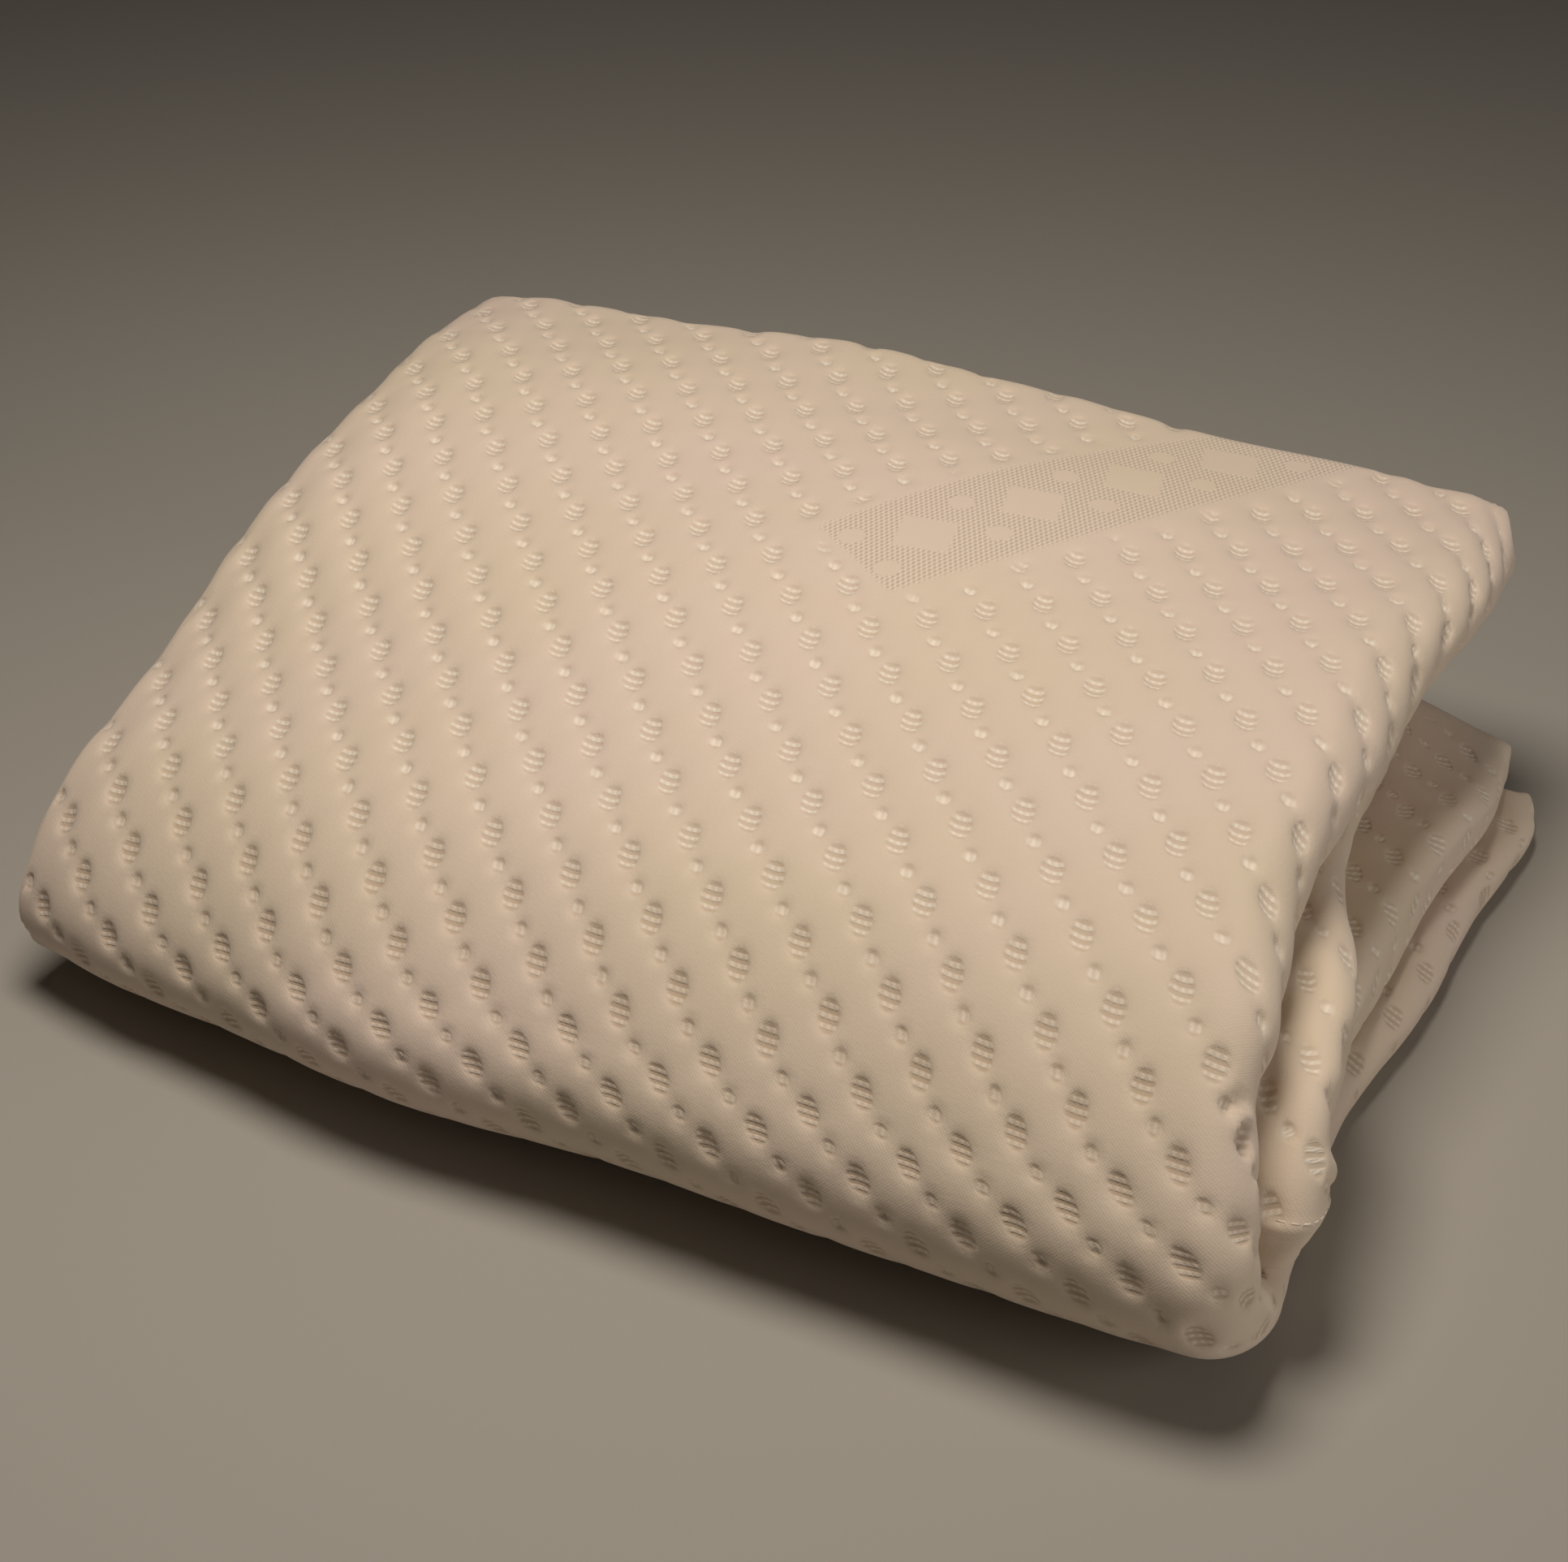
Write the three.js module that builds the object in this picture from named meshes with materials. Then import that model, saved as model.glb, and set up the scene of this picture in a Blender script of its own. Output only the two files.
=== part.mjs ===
// A quilted mattress protector, folded and lying flat.
// One sheet of quilted knit is folded eight layers deep from side to side, into two packets of four,
// and the whole stack is then folded in half over its front edge. So the front is one broad rounded
// fold, the right side shows four rounded bulges, and the back shows the hemmed ends of the layers.
// Millimetres, +X right, +Y back, +Z up. The origin is on the floor under the middle of the part.
import * as THREE from "three";

// Driving dimensions.
const CLOTH = 2.4; // thickness of the quilted knit
const AIR = 1.1; // least gap between two packets
const WIDTH = 360; // across the stack, where its heights and meetings are given
const LEFT = -180; // left side of the folded layers
const BACK = 138; // back ends of the layers
const FRONT = -150; // foremost place of the height tables
const TURN = -98; // where the layers start to turn down over the front
const INNER_REACH = -105; // foremost reach of the innermost layer
const SQUARE = 0.7; // below 1 the front fold is boxier than a half circle
const LOOP = 3.2; // how far the innermost layer stands off the fold plane at the front
const LOOP_START = -30; // behind this place it lies on the plane
const EDGE_DROP = 3; // how far the top falls along its left side
const EDGE_WIDTH = 24; // the strip along the left side that falls
const LAYERS = 8;
const PACKET = 4; // layers in one packet

// Height of the top over the floor, from the front to the back, at the left, middle and right.
const TOP_HEIGHTS = [
  { y: -150, left: 50, middle: 70, right: 78 },
  { y: -105, left: 65, middle: 86, right: 92 },
  { y: -60, left: 79, middle: 99, right: 102 },
  { y: -20, left: 96, middle: 108, right: 107 },
  { y: 25, left: 109, middle: 113, right: 110 },
  { y: 80, left: 117, middle: 115, right: 110 },
  { y: 138, left: 115, middle: 112, right: 106 },
];

// Foremost reach of the front fold, from the left to the right.
const FRONT_REACHES = [
  { x: -184, y: -136 },
  { x: -140, y: -146 },
  { x: -60, y: -150 },
  { x: 60, y: -154 },
  { x: 130, y: -157 },
  { x: 190, y: -152 },
];

// Where the packets meet, as shares of the height: lower half, fold plane, upper half.
const MEETINGS = [
  { y: -150, side: "left", low: 0.23, plane: 0.5, high: 0.77 },
  { y: 138, side: "left", low: 0.25, plane: 0.51, high: 0.75 },
  { y: -150, side: "right", low: 0.19, plane: 0.42, high: 0.69 },
  { y: 138, side: "right", low: 0.14, plane: 0.35, high: 0.72 },
];

// How far each bulge reaches to the right, along the cloth's way from the back of the upper half
// (station 0) over the front fold (1 to 2) to the back of the lower half (3).
const REACHES = [
  { station: 0.0, outer: 171, inner: 154 },
  { station: 0.35, outer: 171, inner: 156 },
  { station: 0.6, outer: 171, inner: 166 },
  { station: 0.8, outer: 172, inner: 180 },
  { station: 1.0, outer: 174, inner: 188 },
  { station: 1.3, outer: 176, inner: 192 },
  { station: 1.65, outer: 179, inner: 189 },
  { station: 2.0, outer: 182, inner: 180 },
  { station: 2.3, outer: 182, inner: 175 },
  { station: 2.6, outer: 185, inner: 181 },
  { station: 3.0, outer: 190, inner: 179 },
];

// How far each layer's end stands behind the back line, upper and lower half.
const ENDS = [
  { layer: 0, upper: 2, lower: 3 },
  { layer: 1, upper: -3, lower: -2 },
  { layer: 2, upper: 1, lower: 1 },
  { layer: 3, upper: -2, lower: -4 },
  { layer: 4, upper: -6, lower: 0 },
  { layer: 5, upper: -4, lower: -3 },
  { layer: 6, upper: -7, lower: 1 },
  { layer: 7, upper: -5, lower: -5 },
];

// The sheet's way through the layers, with the turns that join them.
const PATH = [2, 1, 0, 3, 4, 7, 6, 5];

const SPAN_STEPS = 6; // steps across one layer
const TURN_STEPS = { 1: 4, 3: 8 }; // steps round a turn, by the layers that it spans
const UPPER_STEPS = 8;
const FRONT_STEPS = 10;
const LOWER_STEPS = 6;

const mix = (a, b, t) => a + (b - a) * t;
const clamp01 = (t) => Math.min(1, Math.max(0, t));
const ease = (t) => clamp01(t) ** 2 * (3 - 2 * clamp01(t));

// A smooth curve through a table's rows, read at one place.
function read(table, key, place, column) {
  let i = 0;
  while (i < table.length - 2 && place > table[i + 1][key]) i += 1;
  const at = (j) => table[Math.min(table.length - 1, Math.max(0, j))];
  const [p0, p1, p2, p3] = [at(i - 1), at(i), at(i + 1), at(i + 2)];
  const step = p2[key] - p1[key];
  const slope = (a, b) => (a === b ? 0 : ((b[column] - a[column]) / (b[key] - a[key])) * step);
  const [m1, m2] = [slope(p0, p2), slope(p1, p3)];
  const t = clamp01((place - p1[key]) / step);
  return (
    (2 * t ** 3 - 3 * t ** 2 + 1) * p1[column] +
    (t ** 3 - 2 * t ** 2 + t) * m1 +
    (3 * t ** 2 - 2 * t ** 3) * p2[column] +
    (t ** 3 - t ** 2) * m2
  );
}

const acrossShare = (x) => clamp01((x - LEFT) / WIDTH);

// Height of the top of the folded stack at a place on the floor.
function topHeight(x, y) {
  const s = acrossShare(x);
  const [left, middle, right] = ["left", "middle", "right"].map((c) => read(TOP_HEIGHTS, "y", y, c));
  const crown = left * (1 - s) * (1 - 2 * s) + middle * 4 * s * (1 - s) + right * s * (2 * s - 1);
  return crown - EDGE_DROP * (1 - ease((x - LEFT) / EDGE_WIDTH));
}

// Height at which two packets meet, at a place on the floor.
function meeting(x, y, column) {
  const s = ease(acrossShare(x));
  const t = clamp01((y - FRONT) / (BACK - FRONT));
  const row = (side) => {
    const [front, back] = MEETINGS.filter((m) => m.side === side);
    return mix(front[column], back[column], t);
  };
  return mix(row("left"), row("right"), s) * topHeight(x, y);
}

// Height of the middle of the cloth at a depth counted in layers, 0 outermost, in either half.
function layerHeight(depth, x, y, upper) {
  const inward = upper ? -1 : 1;
  const loop = LOOP * ease((y - LOOP_START) / (TURN - LOOP_START));
  const plane = meeting(x, y, "plane") - inward * loop;
  const outside = upper ? topHeight(x, y) : 0;
  const between = meeting(x, y, upper ? "high" : "low");
  const level = (k) => {
    const [from, to] = k < PACKET ? [outside, between] : [between, plane];
    const first = from + inward * (CLOTH / 2 + (k < PACKET ? 0 : AIR / 2));
    const last = to - inward * (CLOTH / 2 + AIR / 2);
    return mix(first, last, (k % PACKET) / (PACKET - 1));
  };
  const k = Math.min(LAYERS - 2, Math.floor(depth));
  return mix(level(k), level(k + 1), depth - k);
}

// The middle of the outermost or the innermost layer on its way over the front, at an angle
// from 0 where it leaves the top to pi where it comes back underneath.
function frontCurve(x, depth, angle) {
  const outermost = depth === 0;
  const square = outermost ? SQUARE : 1;
  const reach = outermost ? read(FRONT_REACHES, "x", x, "y") + CLOTH / 2 : INNER_REACH;
  const y = TURN + (reach - TURN) * Math.sin(angle) ** square;
  const [high, low] = [layerHeight(depth, x, y, true), layerHeight(depth, x, y, false)];
  const open = Math.sign(Math.cos(angle)) * Math.abs(Math.cos(angle)) ** square;
  return new THREE.Vector3(x, y, (high + low) / 2 + ((high - low) / 2) * open);
}

// How far a layer lies from the outermost towards the innermost, where the front fold begins.
function inwardShare(x, depth, upper) {
  const [outer, own, inner] = [0, depth, LAYERS - 1].map((d) => layerHeight(d, x, TURN, upper));
  return (own - outer) / (inner - outer);
}

// The point of the cloth's middle at a place across, a depth in layers and a station along its way.
function place(x, depth, station) {
  const end = (half) => BACK + read(ENDS, "layer", depth, half);
  if (station <= 1) {
    const y = mix(end("upper"), TURN, station);
    return new THREE.Vector3(x, y, layerHeight(depth, x, y, true));
  }
  if (station >= 2) {
    const y = mix(TURN, end("lower"), station - 2);
    return new THREE.Vector3(x, y, layerHeight(depth, x, y, false));
  }
  const way = station - 1;
  const [outer, inner] = [0, LAYERS - 1].map((d) => frontCurve(x, d, way * Math.PI));
  const share = mix(inwardShare(x, depth, true), inwardShare(x, depth, false), ease(way));
  return outer.lerp(inner, share);
}

const rightSide = (packet, station) =>
  read(REACHES, "station", station, packet === 0 ? "outer" : "inner");

// Half the distance between two layers at a station, which is the radius of the turn that joins them.
function turnRadius(x, a, b, station) {
  return place(x, a, station).distanceTo(place(x, b, station)) / 2;
}

// Centre of the turns on the right of a packet: its nested turns share it.
function rightCentre(packet, station) {
  const [first, last] = [packet * PACKET, packet * PACKET + PACKET - 1];
  const side = rightSide(packet, station);
  return side - CLOTH / 2 - turnRadius(side - 12, first, last, station);
}

const LEFT_CENTRE = LEFT + 6;

// The section as steps along the cloth: each gives its place across and its depth at a station.
function sectionSteps() {
  const steps = [];
  PATH.forEach((layer, i) => {
    const toLeft = i % 2 === 1; // the way starts towards the right
    const packet = Math.floor(layer / PACKET);
    for (let j = 0; j <= SPAN_STEPS; j += 1) {
      const t = toLeft ? 1 - j / SPAN_STEPS : j / SPAN_STEPS;
      steps.push((station) => [mix(LEFT_CENTRE, rightCentre(packet, station), t), layer]);
    }
    if (i === PATH.length - 1) return;
    const next = PATH[i + 1];
    const count = TURN_STEPS[Math.abs(next - layer)];
    for (let j = 1; j < count; j += 1) {
      const angle = (j / count) * Math.PI;
      const depth = mix(layer, next, (1 - Math.cos(angle)) / 2);
      steps.push((station) => {
        const centre = toLeft ? LEFT_CENTRE : rightCentre(packet, station);
        const radius = turnRadius(centre, layer, next, station);
        return [centre + (toLeft ? -1 : 1) * radius * Math.sin(angle), depth];
      });
    }
  });
  return steps;
}

function stations() {
  const upper = Array.from({ length: UPPER_STEPS }, (_, i) => i / UPPER_STEPS);
  const front = Array.from({ length: FRONT_STEPS }, (_, i) => 1 + i / FRONT_STEPS);
  const lower = Array.from({ length: LOWER_STEPS + 1 }, (_, i) => 2 + i / LOWER_STEPS);
  return [...upper, ...front, ...lower];
}

// A closed shell round a grid of points: both faces of the cloth and its four edges.
function shell(grid, thickness) {
  const rows = grid.length;
  const columns = grid[0].length;
  const at = (i, j) =>
    grid[Math.min(rows - 1, Math.max(0, i))][Math.min(columns - 1, Math.max(0, j))];
  const positions = [];
  for (const side of [1, -1])
    for (let i = 0; i < rows; i += 1)
      for (let j = 0; j < columns; j += 1) {
        const along = at(i + 1, j).clone().sub(at(i - 1, j));
        const across = at(i, j + 1).clone().sub(at(i, j - 1));
        const normal = across.cross(along).normalize();
        const p = at(i, j).clone().addScaledVector(normal, (side * thickness) / 2);
        positions.push(p.x, p.y, p.z);
      }
  const index = (side, i, j) => side * rows * columns + i * columns + j;
  const faces = [];
  const quad = (a, b, c, d) => faces.push(a, b, c, a, c, d);
  for (let i = 0; i < rows - 1; i += 1)
    for (let j = 0; j < columns - 1; j += 1) {
      const corners = [[i, j], [i, j + 1], [i + 1, j + 1], [i + 1, j]];
      quad(...corners.map(([a, b]) => index(0, a, b)));
      quad(...corners.reverse().map(([a, b]) => index(1, a, b)));
    }
  const edge = [];
  for (let j = 0; j < columns - 1; j += 1) edge.push([0, j]);
  for (let i = 0; i < rows - 1; i += 1) edge.push([i, columns - 1]);
  for (let j = columns - 1; j > 0; j -= 1) edge.push([rows - 1, j]);
  for (let i = rows - 1; i > 0; i -= 1) edge.push([i, 0]);
  edge.forEach(([i, j], n) => {
    const [k, l] = edge[(n + 1) % edge.length];
    quad(index(0, k, l), index(0, i, j), index(1, i, j), index(1, k, l));
  });
  const geometry = new THREE.BufferGeometry();
  geometry.setAttribute("position", new THREE.Float32BufferAttribute(positions, 3));
  geometry.setIndex(faces);
  return geometry;
}

function quiltedCloth() {
  const steps = sectionSteps();
  const grid = stations().map((station) => steps.map((step) => place(...step(station), station)));
  const geometry = shell(grid, CLOTH);
  geometry.computeBoundingBox();
  const { min, max } = geometry.boundingBox;
  return geometry.translate(-(min.x + max.x) / 2, -(min.y + max.y) / 2, -min.z);
}

const knit = new THREE.MeshStandardMaterial({ color: 0xe6d6c2, roughness: 0.85, metalness: 0 });

const protector = new THREE.Group();
const cloth = new THREE.Mesh(quiltedCloth(), knit);
cloth.name = "quilted_cloth";
protector.add(cloth);

export default protector;
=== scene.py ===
# %% [markdown]
# # A folded mattress protector
# The object is one sheet of quilted knit, folded eight layers deep from side to side and then in half over
# its front edge. This notebook dresses the plain solid: the same folds in a finer mesh, the quilting that
# dimples the knit, a patterned band, a sewn seam, the hems, and a soft knit material.
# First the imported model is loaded. Its box is kept, so that the dressed cloth can be measured against it.

import math

import bpy
import numpy as np
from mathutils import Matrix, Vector


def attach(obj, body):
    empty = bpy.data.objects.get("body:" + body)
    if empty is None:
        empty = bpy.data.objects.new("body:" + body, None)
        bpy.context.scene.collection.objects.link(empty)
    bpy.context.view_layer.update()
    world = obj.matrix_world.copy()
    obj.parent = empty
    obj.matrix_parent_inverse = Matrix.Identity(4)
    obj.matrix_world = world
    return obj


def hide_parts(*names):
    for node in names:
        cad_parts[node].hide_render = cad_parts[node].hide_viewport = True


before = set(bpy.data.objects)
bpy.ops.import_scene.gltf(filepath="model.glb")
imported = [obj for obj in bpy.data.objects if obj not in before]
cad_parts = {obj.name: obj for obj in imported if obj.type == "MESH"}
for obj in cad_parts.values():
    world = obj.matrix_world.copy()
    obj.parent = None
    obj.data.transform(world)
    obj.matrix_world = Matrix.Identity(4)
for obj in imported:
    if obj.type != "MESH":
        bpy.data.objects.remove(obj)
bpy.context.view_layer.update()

# %% [markdown]
# Every part of the work uses millimetres in the axes of the folding tables. Two numbers turn them into the
# scene: the scale to metres, and the shift that stands the middle of the stack over the origin.

# %% Units and place
MM = 0.001
SHIFT = np.array([-5.76, 7.83, 0.0])  # from the tables' axes to the scene's, mm


def to_scene(points):
    """Points of the folding tables, in metres and in the scene's place."""
    return (np.asarray(points, float) + SHIFT) * MM


print("middle of the stack moves by", SHIFT, "mm")

# %% [markdown]
# The camera stands where the photographer stood: above the front right corner, looking down at about 33
# degrees through a 60 mm lens. It is made first because every later choice is judged through it.

# %% Camera
view = bpy.data.cameras.new("view")
view.lens = 60.0
view.sensor_width = 36.0
view.clip_start = 0.01
camera = bpy.data.objects.new("view", view)
camera.location = (0.27325, -0.57617, 0.45701)
camera.rotation_euler = (math.radians(57.20), 0.0, math.radians(26.0085))
bpy.context.scene.collection.objects.link(camera)
bpy.context.scene.camera = camera
# light and dark as plainly as the photograph has them
bpy.context.scene.view_settings.view_transform = "Standard"
print("camera at", tuple(round(c, 3) for c in camera.location))

# %% [markdown]
# ## How the sheet is folded
# A folded cloth has a simple rule: a section that runs back and forth, carried along a path that goes over
# the front. So the fold is worked out from short tables instead of being drawn point by point: how high the
# stack is, how far the front and each bulge on the right reach, and where the two packets of four layers
# meet.

# %% Folding tables
LEFT, WIDTH = -180.0, 360.0  # left side of the layers, and the width over which heights are told, mm
BACK, FRONT = 138.0, -150.0  # back ends of the layers, and the foremost place of the height tables
TURN, INNER_REACH = -98.0, -105.0  # where the layers start to turn down, and how far the innermost one goes
ROLL_START, ROLL_RADIUS = 131.0, 9.5  # where the top layer turns down over the back
EDGE_DROP, EDGE_WIDTH = 3.0, 24.0  # how far the top falls along its left side, and over which strip
LOOP, LOOP_START = 3.2, -30.0  # how far the innermost layer stands off the fold plane, and from where
AIR = 0.7  # least gap between two packets
LAYERS, PACKET = 8, 4  # on each side of the fold plane, and in one packet

# y, and the height of the top at the left, in the middle and at the right
TOP_HEIGHTS = np.array(
    [
        (-150, 50, 70, 78),
        (-105, 65, 86, 92),
        (-60, 79, 99, 102),
        (-20, 96, 108, 107),
        (25, 109, 113, 110),
        (80, 117, 115, 110),
        (138, 115, 112, 108),
    ],
    float,
)
# x, and the foremost reach of the front fold there
FRONT_REACHES = np.array(
    [(-184, -140.5), (-140, -148.8), (-105, -153.3), (-60, -159.3)]
    + [(-20, -162), (60, -161), (130, -162), (190, -158.5)]
)
# shares of the height at which packets meet: front and back, on the left and on the right
MEETINGS = {
    "low": {"left": (0.23, 0.25), "right": (0.19, 0.14)},
    "plane": {"left": (0.50, 0.51), "right": (0.42, 0.35)},
    "high": {"left": (0.77, 0.75), "right": (0.69, 0.72)},
}
# station along the cloth's way, and the reach to the right of the outer and the inner bulge
BULGE_REACHES = np.array(
    [(0.0, 173.5, 154), (0.2, 172, 155), (0.45, 167, 158), (0.65, 165, 166), (0.8, 167, 178)]
    + [(0.95, 170, 185), (1.05, 173, 188), (1.15, 174.5, 190), (1.22, 179, 192), (1.3, 182, 192)]
    + [(1.45, 183, 191), (1.6, 183.5, 187), (1.8, 185, 185), (1.95, 182.5, 183), (2.1, 181, 180)]
    + [(2.3, 181.5, 176), (2.6, 186, 179), (2.8, 192, 181), (2.92, 193, 181), (3.0, 188, 181)]
)
# layer, and how far its ends stand behind the back line, upper and lower half
LAYER_ENDS = np.array(
    [(0, 10, 3), (1, -9, -2), (2, -6, 1), (3, -5, -4)] + [(4, -6, 0), (5, -4, -3), (6, -7, 1), (7, -5, -5)],
    float,
)
PATH = [2, 1, 0, 3, 4, 7, 6, 5]  # the sheet's way through the layers
LEFT_CENTRE = LEFT + 6.0  # middle of the turns on the left
print("layers in the stack:", 2 * LAYERS)

# %% [markdown]
# A table gives a few rows, and the cloth needs every place between them. A curve through the rows whose
# slope is the neighbours' slope has no kinks, as cloth has none.

# %% Reading a table


def mix(a, b, t):
    return a + (b - a) * t


def ease(t):
    t = np.clip(t, 0, 1)
    return t * t * (3 - 2 * t)


def read(table, column, at):
    """A smooth curve through one column of a table, read at many places."""
    keys, values = table[:, 0], table[:, column]
    at = np.asarray(at, float)
    i = np.clip(np.searchsorted(keys, at, side="left") - 1, 0, len(keys) - 2)
    before = np.maximum(np.arange(len(keys)) - 1, 0)
    after = np.minimum(np.arange(len(keys)) + 1, len(keys) - 1)
    slope = (values[after] - values[before]) / (keys[after] - keys[before])
    step = keys[i + 1] - keys[i]
    t = np.clip((at - keys[i]) / step, 0, 1)
    return (
        (2 * t**3 - 3 * t**2 + 1) * values[i]
        + (t**3 - 2 * t**2 + t) * step * slope[i]
        + (3 * t**2 - 2 * t**3) * values[i + 1]
        + (t**3 - t**2) * step * slope[i + 1]
    )


print("top at the middle:", round(float(read(TOP_HEIGHTS, 2, 0.0)), 1), "mm")

# %% [markdown]
# The stack's top is a soft crown. Below it the packets share the height. The knit is plump where it has
# room and pressed thin where the stack is low, at the front left and at the bottom right, so its thickness
# is a share of the room that each layer has.

# %% Heights and thickness
FILL, THIN, PLUMP = 0.66, 2.3, 4.6  # share of the room, least and most thickness in mm


def share_across(x):
    return np.clip((x - LEFT) / WIDTH, 0, 1)


def top_height(x, y):
    s = share_across(x)
    left, middle, right = (read(TOP_HEIGHTS, c, y) for c in (1, 2, 3))
    crown = left * (1 - s) * (1 - 2 * s) + middle * 4 * s * (1 - s) + right * s * (2 * s - 1)
    return crown - EDGE_DROP * (1 - ease((x - LEFT) / EDGE_WIDTH))


def meeting(x, y, name):
    s = ease(share_across(x))
    t = np.clip((y - FRONT) / (BACK - FRONT), 0, 1)
    left, right = (mix(*MEETINGS[name][side], t) for side in ("left", "right"))
    return mix(left, right, s) * top_height(x, y)


def packet_bounds(x, y, upper):
    """Heights of the outside, of the meeting of the packets and of the fold plane."""
    inward = -1.0 if upper else 1.0
    loop = LOOP * ease((y - LOOP_START) / (TURN - LOOP_START))
    plane = meeting(x, y, "plane") - inward * loop
    outside = top_height(x, y) if upper else np.zeros_like(plane)
    return inward, outside, meeting(x, y, "high" if upper else "low"), plane


def cloth_thickness(depth, x, y, upper):
    _, outside, between, plane = packet_bounds(x, y, upper)
    outer = np.clip(FILL * np.abs(outside - between) / PACKET, THIN, PLUMP)
    inner = np.clip(FILL * np.abs(between - plane) / PACKET, THIN, PLUMP)
    return mix(outer, inner, np.clip(depth - (PACKET - 1), 0, 1))


def layer_height(depth, x, y, upper):
    """Height of the middle of the cloth at a depth counted in layers, 0 outermost."""
    inward, outside, between, plane = packet_bounds(x, y, upper)
    outer, inner = (cloth_thickness(np.float64(d), x, y, upper) for d in (0, LAYERS - 1))

    def level(k):
        deep = k >= PACKET
        thick = np.where(deep, inner, outer)
        first = np.where(deep, between, outside) + inward * (thick / 2 + np.where(deep, AIR / 2, 0))
        last = np.where(deep, plane, between) - inward * (thick / 2 + AIR / 2)
        return mix(first, last, (k % PACKET) / (PACKET - 1))

    k = np.minimum(LAYERS - 2, np.floor(depth))
    return mix(level(k), level(k + 1), depth - k)


at_back_right = cloth_thickness(np.float64(0), np.array([150.0]), np.array([120.0]), True)
print("cloth at the back right, on top:", at_back_right.round(2), "mm")

# %% [markdown]
# Over the front the outermost layer takes a broad round curve and the innermost a tight loop. The layers
# between them lie at the same shares as on the flat, which keeps them nested.

# %% The way over the front


def front_curve(x, innermost, angle):
    """y and z of the outermost or the innermost layer, at an angle from 0 on top to pi below."""
    depth = np.float64(LAYERS - 1 if innermost else 0)
    half = cloth_thickness(np.float64(0), x, np.full_like(x, TURN), True) / 2
    reach = np.full_like(x, INNER_REACH) if innermost else read(FRONT_REACHES, 1, x) + half
    y = TURN + (reach - TURN) * np.sin(angle)
    high, low = layer_height(depth, x, y, True), layer_height(depth, x, y, False)
    return y, (high + low) / 2 + (high - low) / 2 * np.cos(angle)


def inward_share(x, depth, upper):
    """How far inwards a layer lies at the turn, from 0 for the outermost to 1 for the innermost."""
    y = np.full_like(x, TURN)
    outer, own, inner = (layer_height(d, x, y, upper) for d in (np.float64(0), depth, np.float64(LAYERS - 1)))
    return (own - outer) / (inner - outer)


def roll_over_back(depth, x, y, z):
    """Turns the top layer down over the ends of the others; deeper layers stay as they are."""
    past = np.maximum(y - ROLL_START, 0)
    angle = np.minimum(past / ROLL_RADIUS, np.pi / 2)
    start = layer_height(depth, x, np.minimum(y, ROLL_START), True)
    rolled_y = np.minimum(y, ROLL_START) + ROLL_RADIUS * np.sin(angle)
    rolled_z = start - ROLL_RADIUS * (1 - np.cos(angle)) - np.maximum(past - ROLL_RADIUS * np.pi / 2, 0)
    amount = (1 - ease(depth / 0.9)) * (y > ROLL_START)
    return mix(y, rolled_y, amount), mix(z, rolled_z, amount)


def place(x, depth, station):
    """Middle of the cloth and its thickness: stations 0 to 1 on top, 1 to 2 over the front, 2 to 3 below."""
    x, depth, station = np.broadcast_arrays(*(np.asarray(a, float) for a in (x, depth, station)))
    y, z, thick = np.zeros_like(x), np.zeros_like(x), np.zeros_like(x)
    for mask, upper in ((station <= 1, True), (station >= 2, False)):
        d, xs, s = depth[mask], x[mask], station[mask]
        end = BACK + read(LAYER_ENDS, 1 if upper else 2, d)
        ys = mix(end, TURN, s) if upper else mix(TURN, end, s - 2)
        z[mask] = layer_height(d, xs, ys, upper)
        y[mask] = ys
        thick[mask] = cloth_thickness(d, xs, ys, upper)
        if upper:
            y[mask], z[mask] = roll_over_back(d, xs, ys, z[mask])
    fold = (station > 1) & (station < 2)
    xs, d, way = x[fold], depth[fold], station[fold] - 1
    (y_out, z_out), (y_in, z_in) = (front_curve(xs, deep, way * np.pi) for deep in (False, True))
    share = mix(inward_share(xs, d, True), inward_share(xs, d, False), ease(way))
    y[fold], z[fold] = mix(y_out, y_in, share), mix(z_out, z_in, share)
    at_turn = np.full_like(xs, TURN)
    above, below = (cloth_thickness(d, xs, at_turn, upper) for upper in (True, False))
    thick[fold] = mix(above, below, ease(way))
    return np.stack([x, y, z], -1), thick


def turn_radius(x, a, b, station):
    return np.linalg.norm(place(x, a, station)[0] - place(x, b, station)[0], axis=-1) / 2


def right_centre(packet, station):
    first, last = packet * PACKET, packet * PACKET + PACKET - 1
    side = read(BULGE_REACHES, 1 + packet, station)
    return side - place(side, first, station)[1] / 2 - turn_radius(side - 12, first, last, station)


print("front fold reaches y =", round(float(front_curve(np.zeros(1), False, np.full(1, np.pi / 2))[0][0]), 1))

# %% [markdown]
# ## A grid that is fine where the eye looks
# The dimples are about 10 mm wide, so the showing cloth needs a point every 1.8 mm. The hidden layers need
# almost none. The grid's lines are listed here with a label each, and a later step joins them into cells
# that are small on the showing stretches and long on the hidden ones.

# %% Lines across and along
FINE = 1.8  # spacing of the points on the showing cloth, mm
HEM_STEPS = np.array([0, 0.7, 1.6, 2.8, 4.4, 6.4, 9.0])  # from a hemmed end inwards, mm
MARGIN = 27.0  # showing stretch of a layer next to a bulge, mm
SPAN = 340.0  # width of a layer between its turns, roughly
TOP_LINES, HIDDEN_LINES = 200, 14  # lines across the top, and across a hidden layer
TURN_LINES = {(2, 1): 8, (1, 0): 10, (0, 3): 24, (3, 4): 6, (4, 7): 24, (7, 6): 8, (6, 5): 8}
STRETCHES = {"back hem": 6, "upper": 136, "front": 80, "lower": 120, "low hem": 6}  # steps along each


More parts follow.
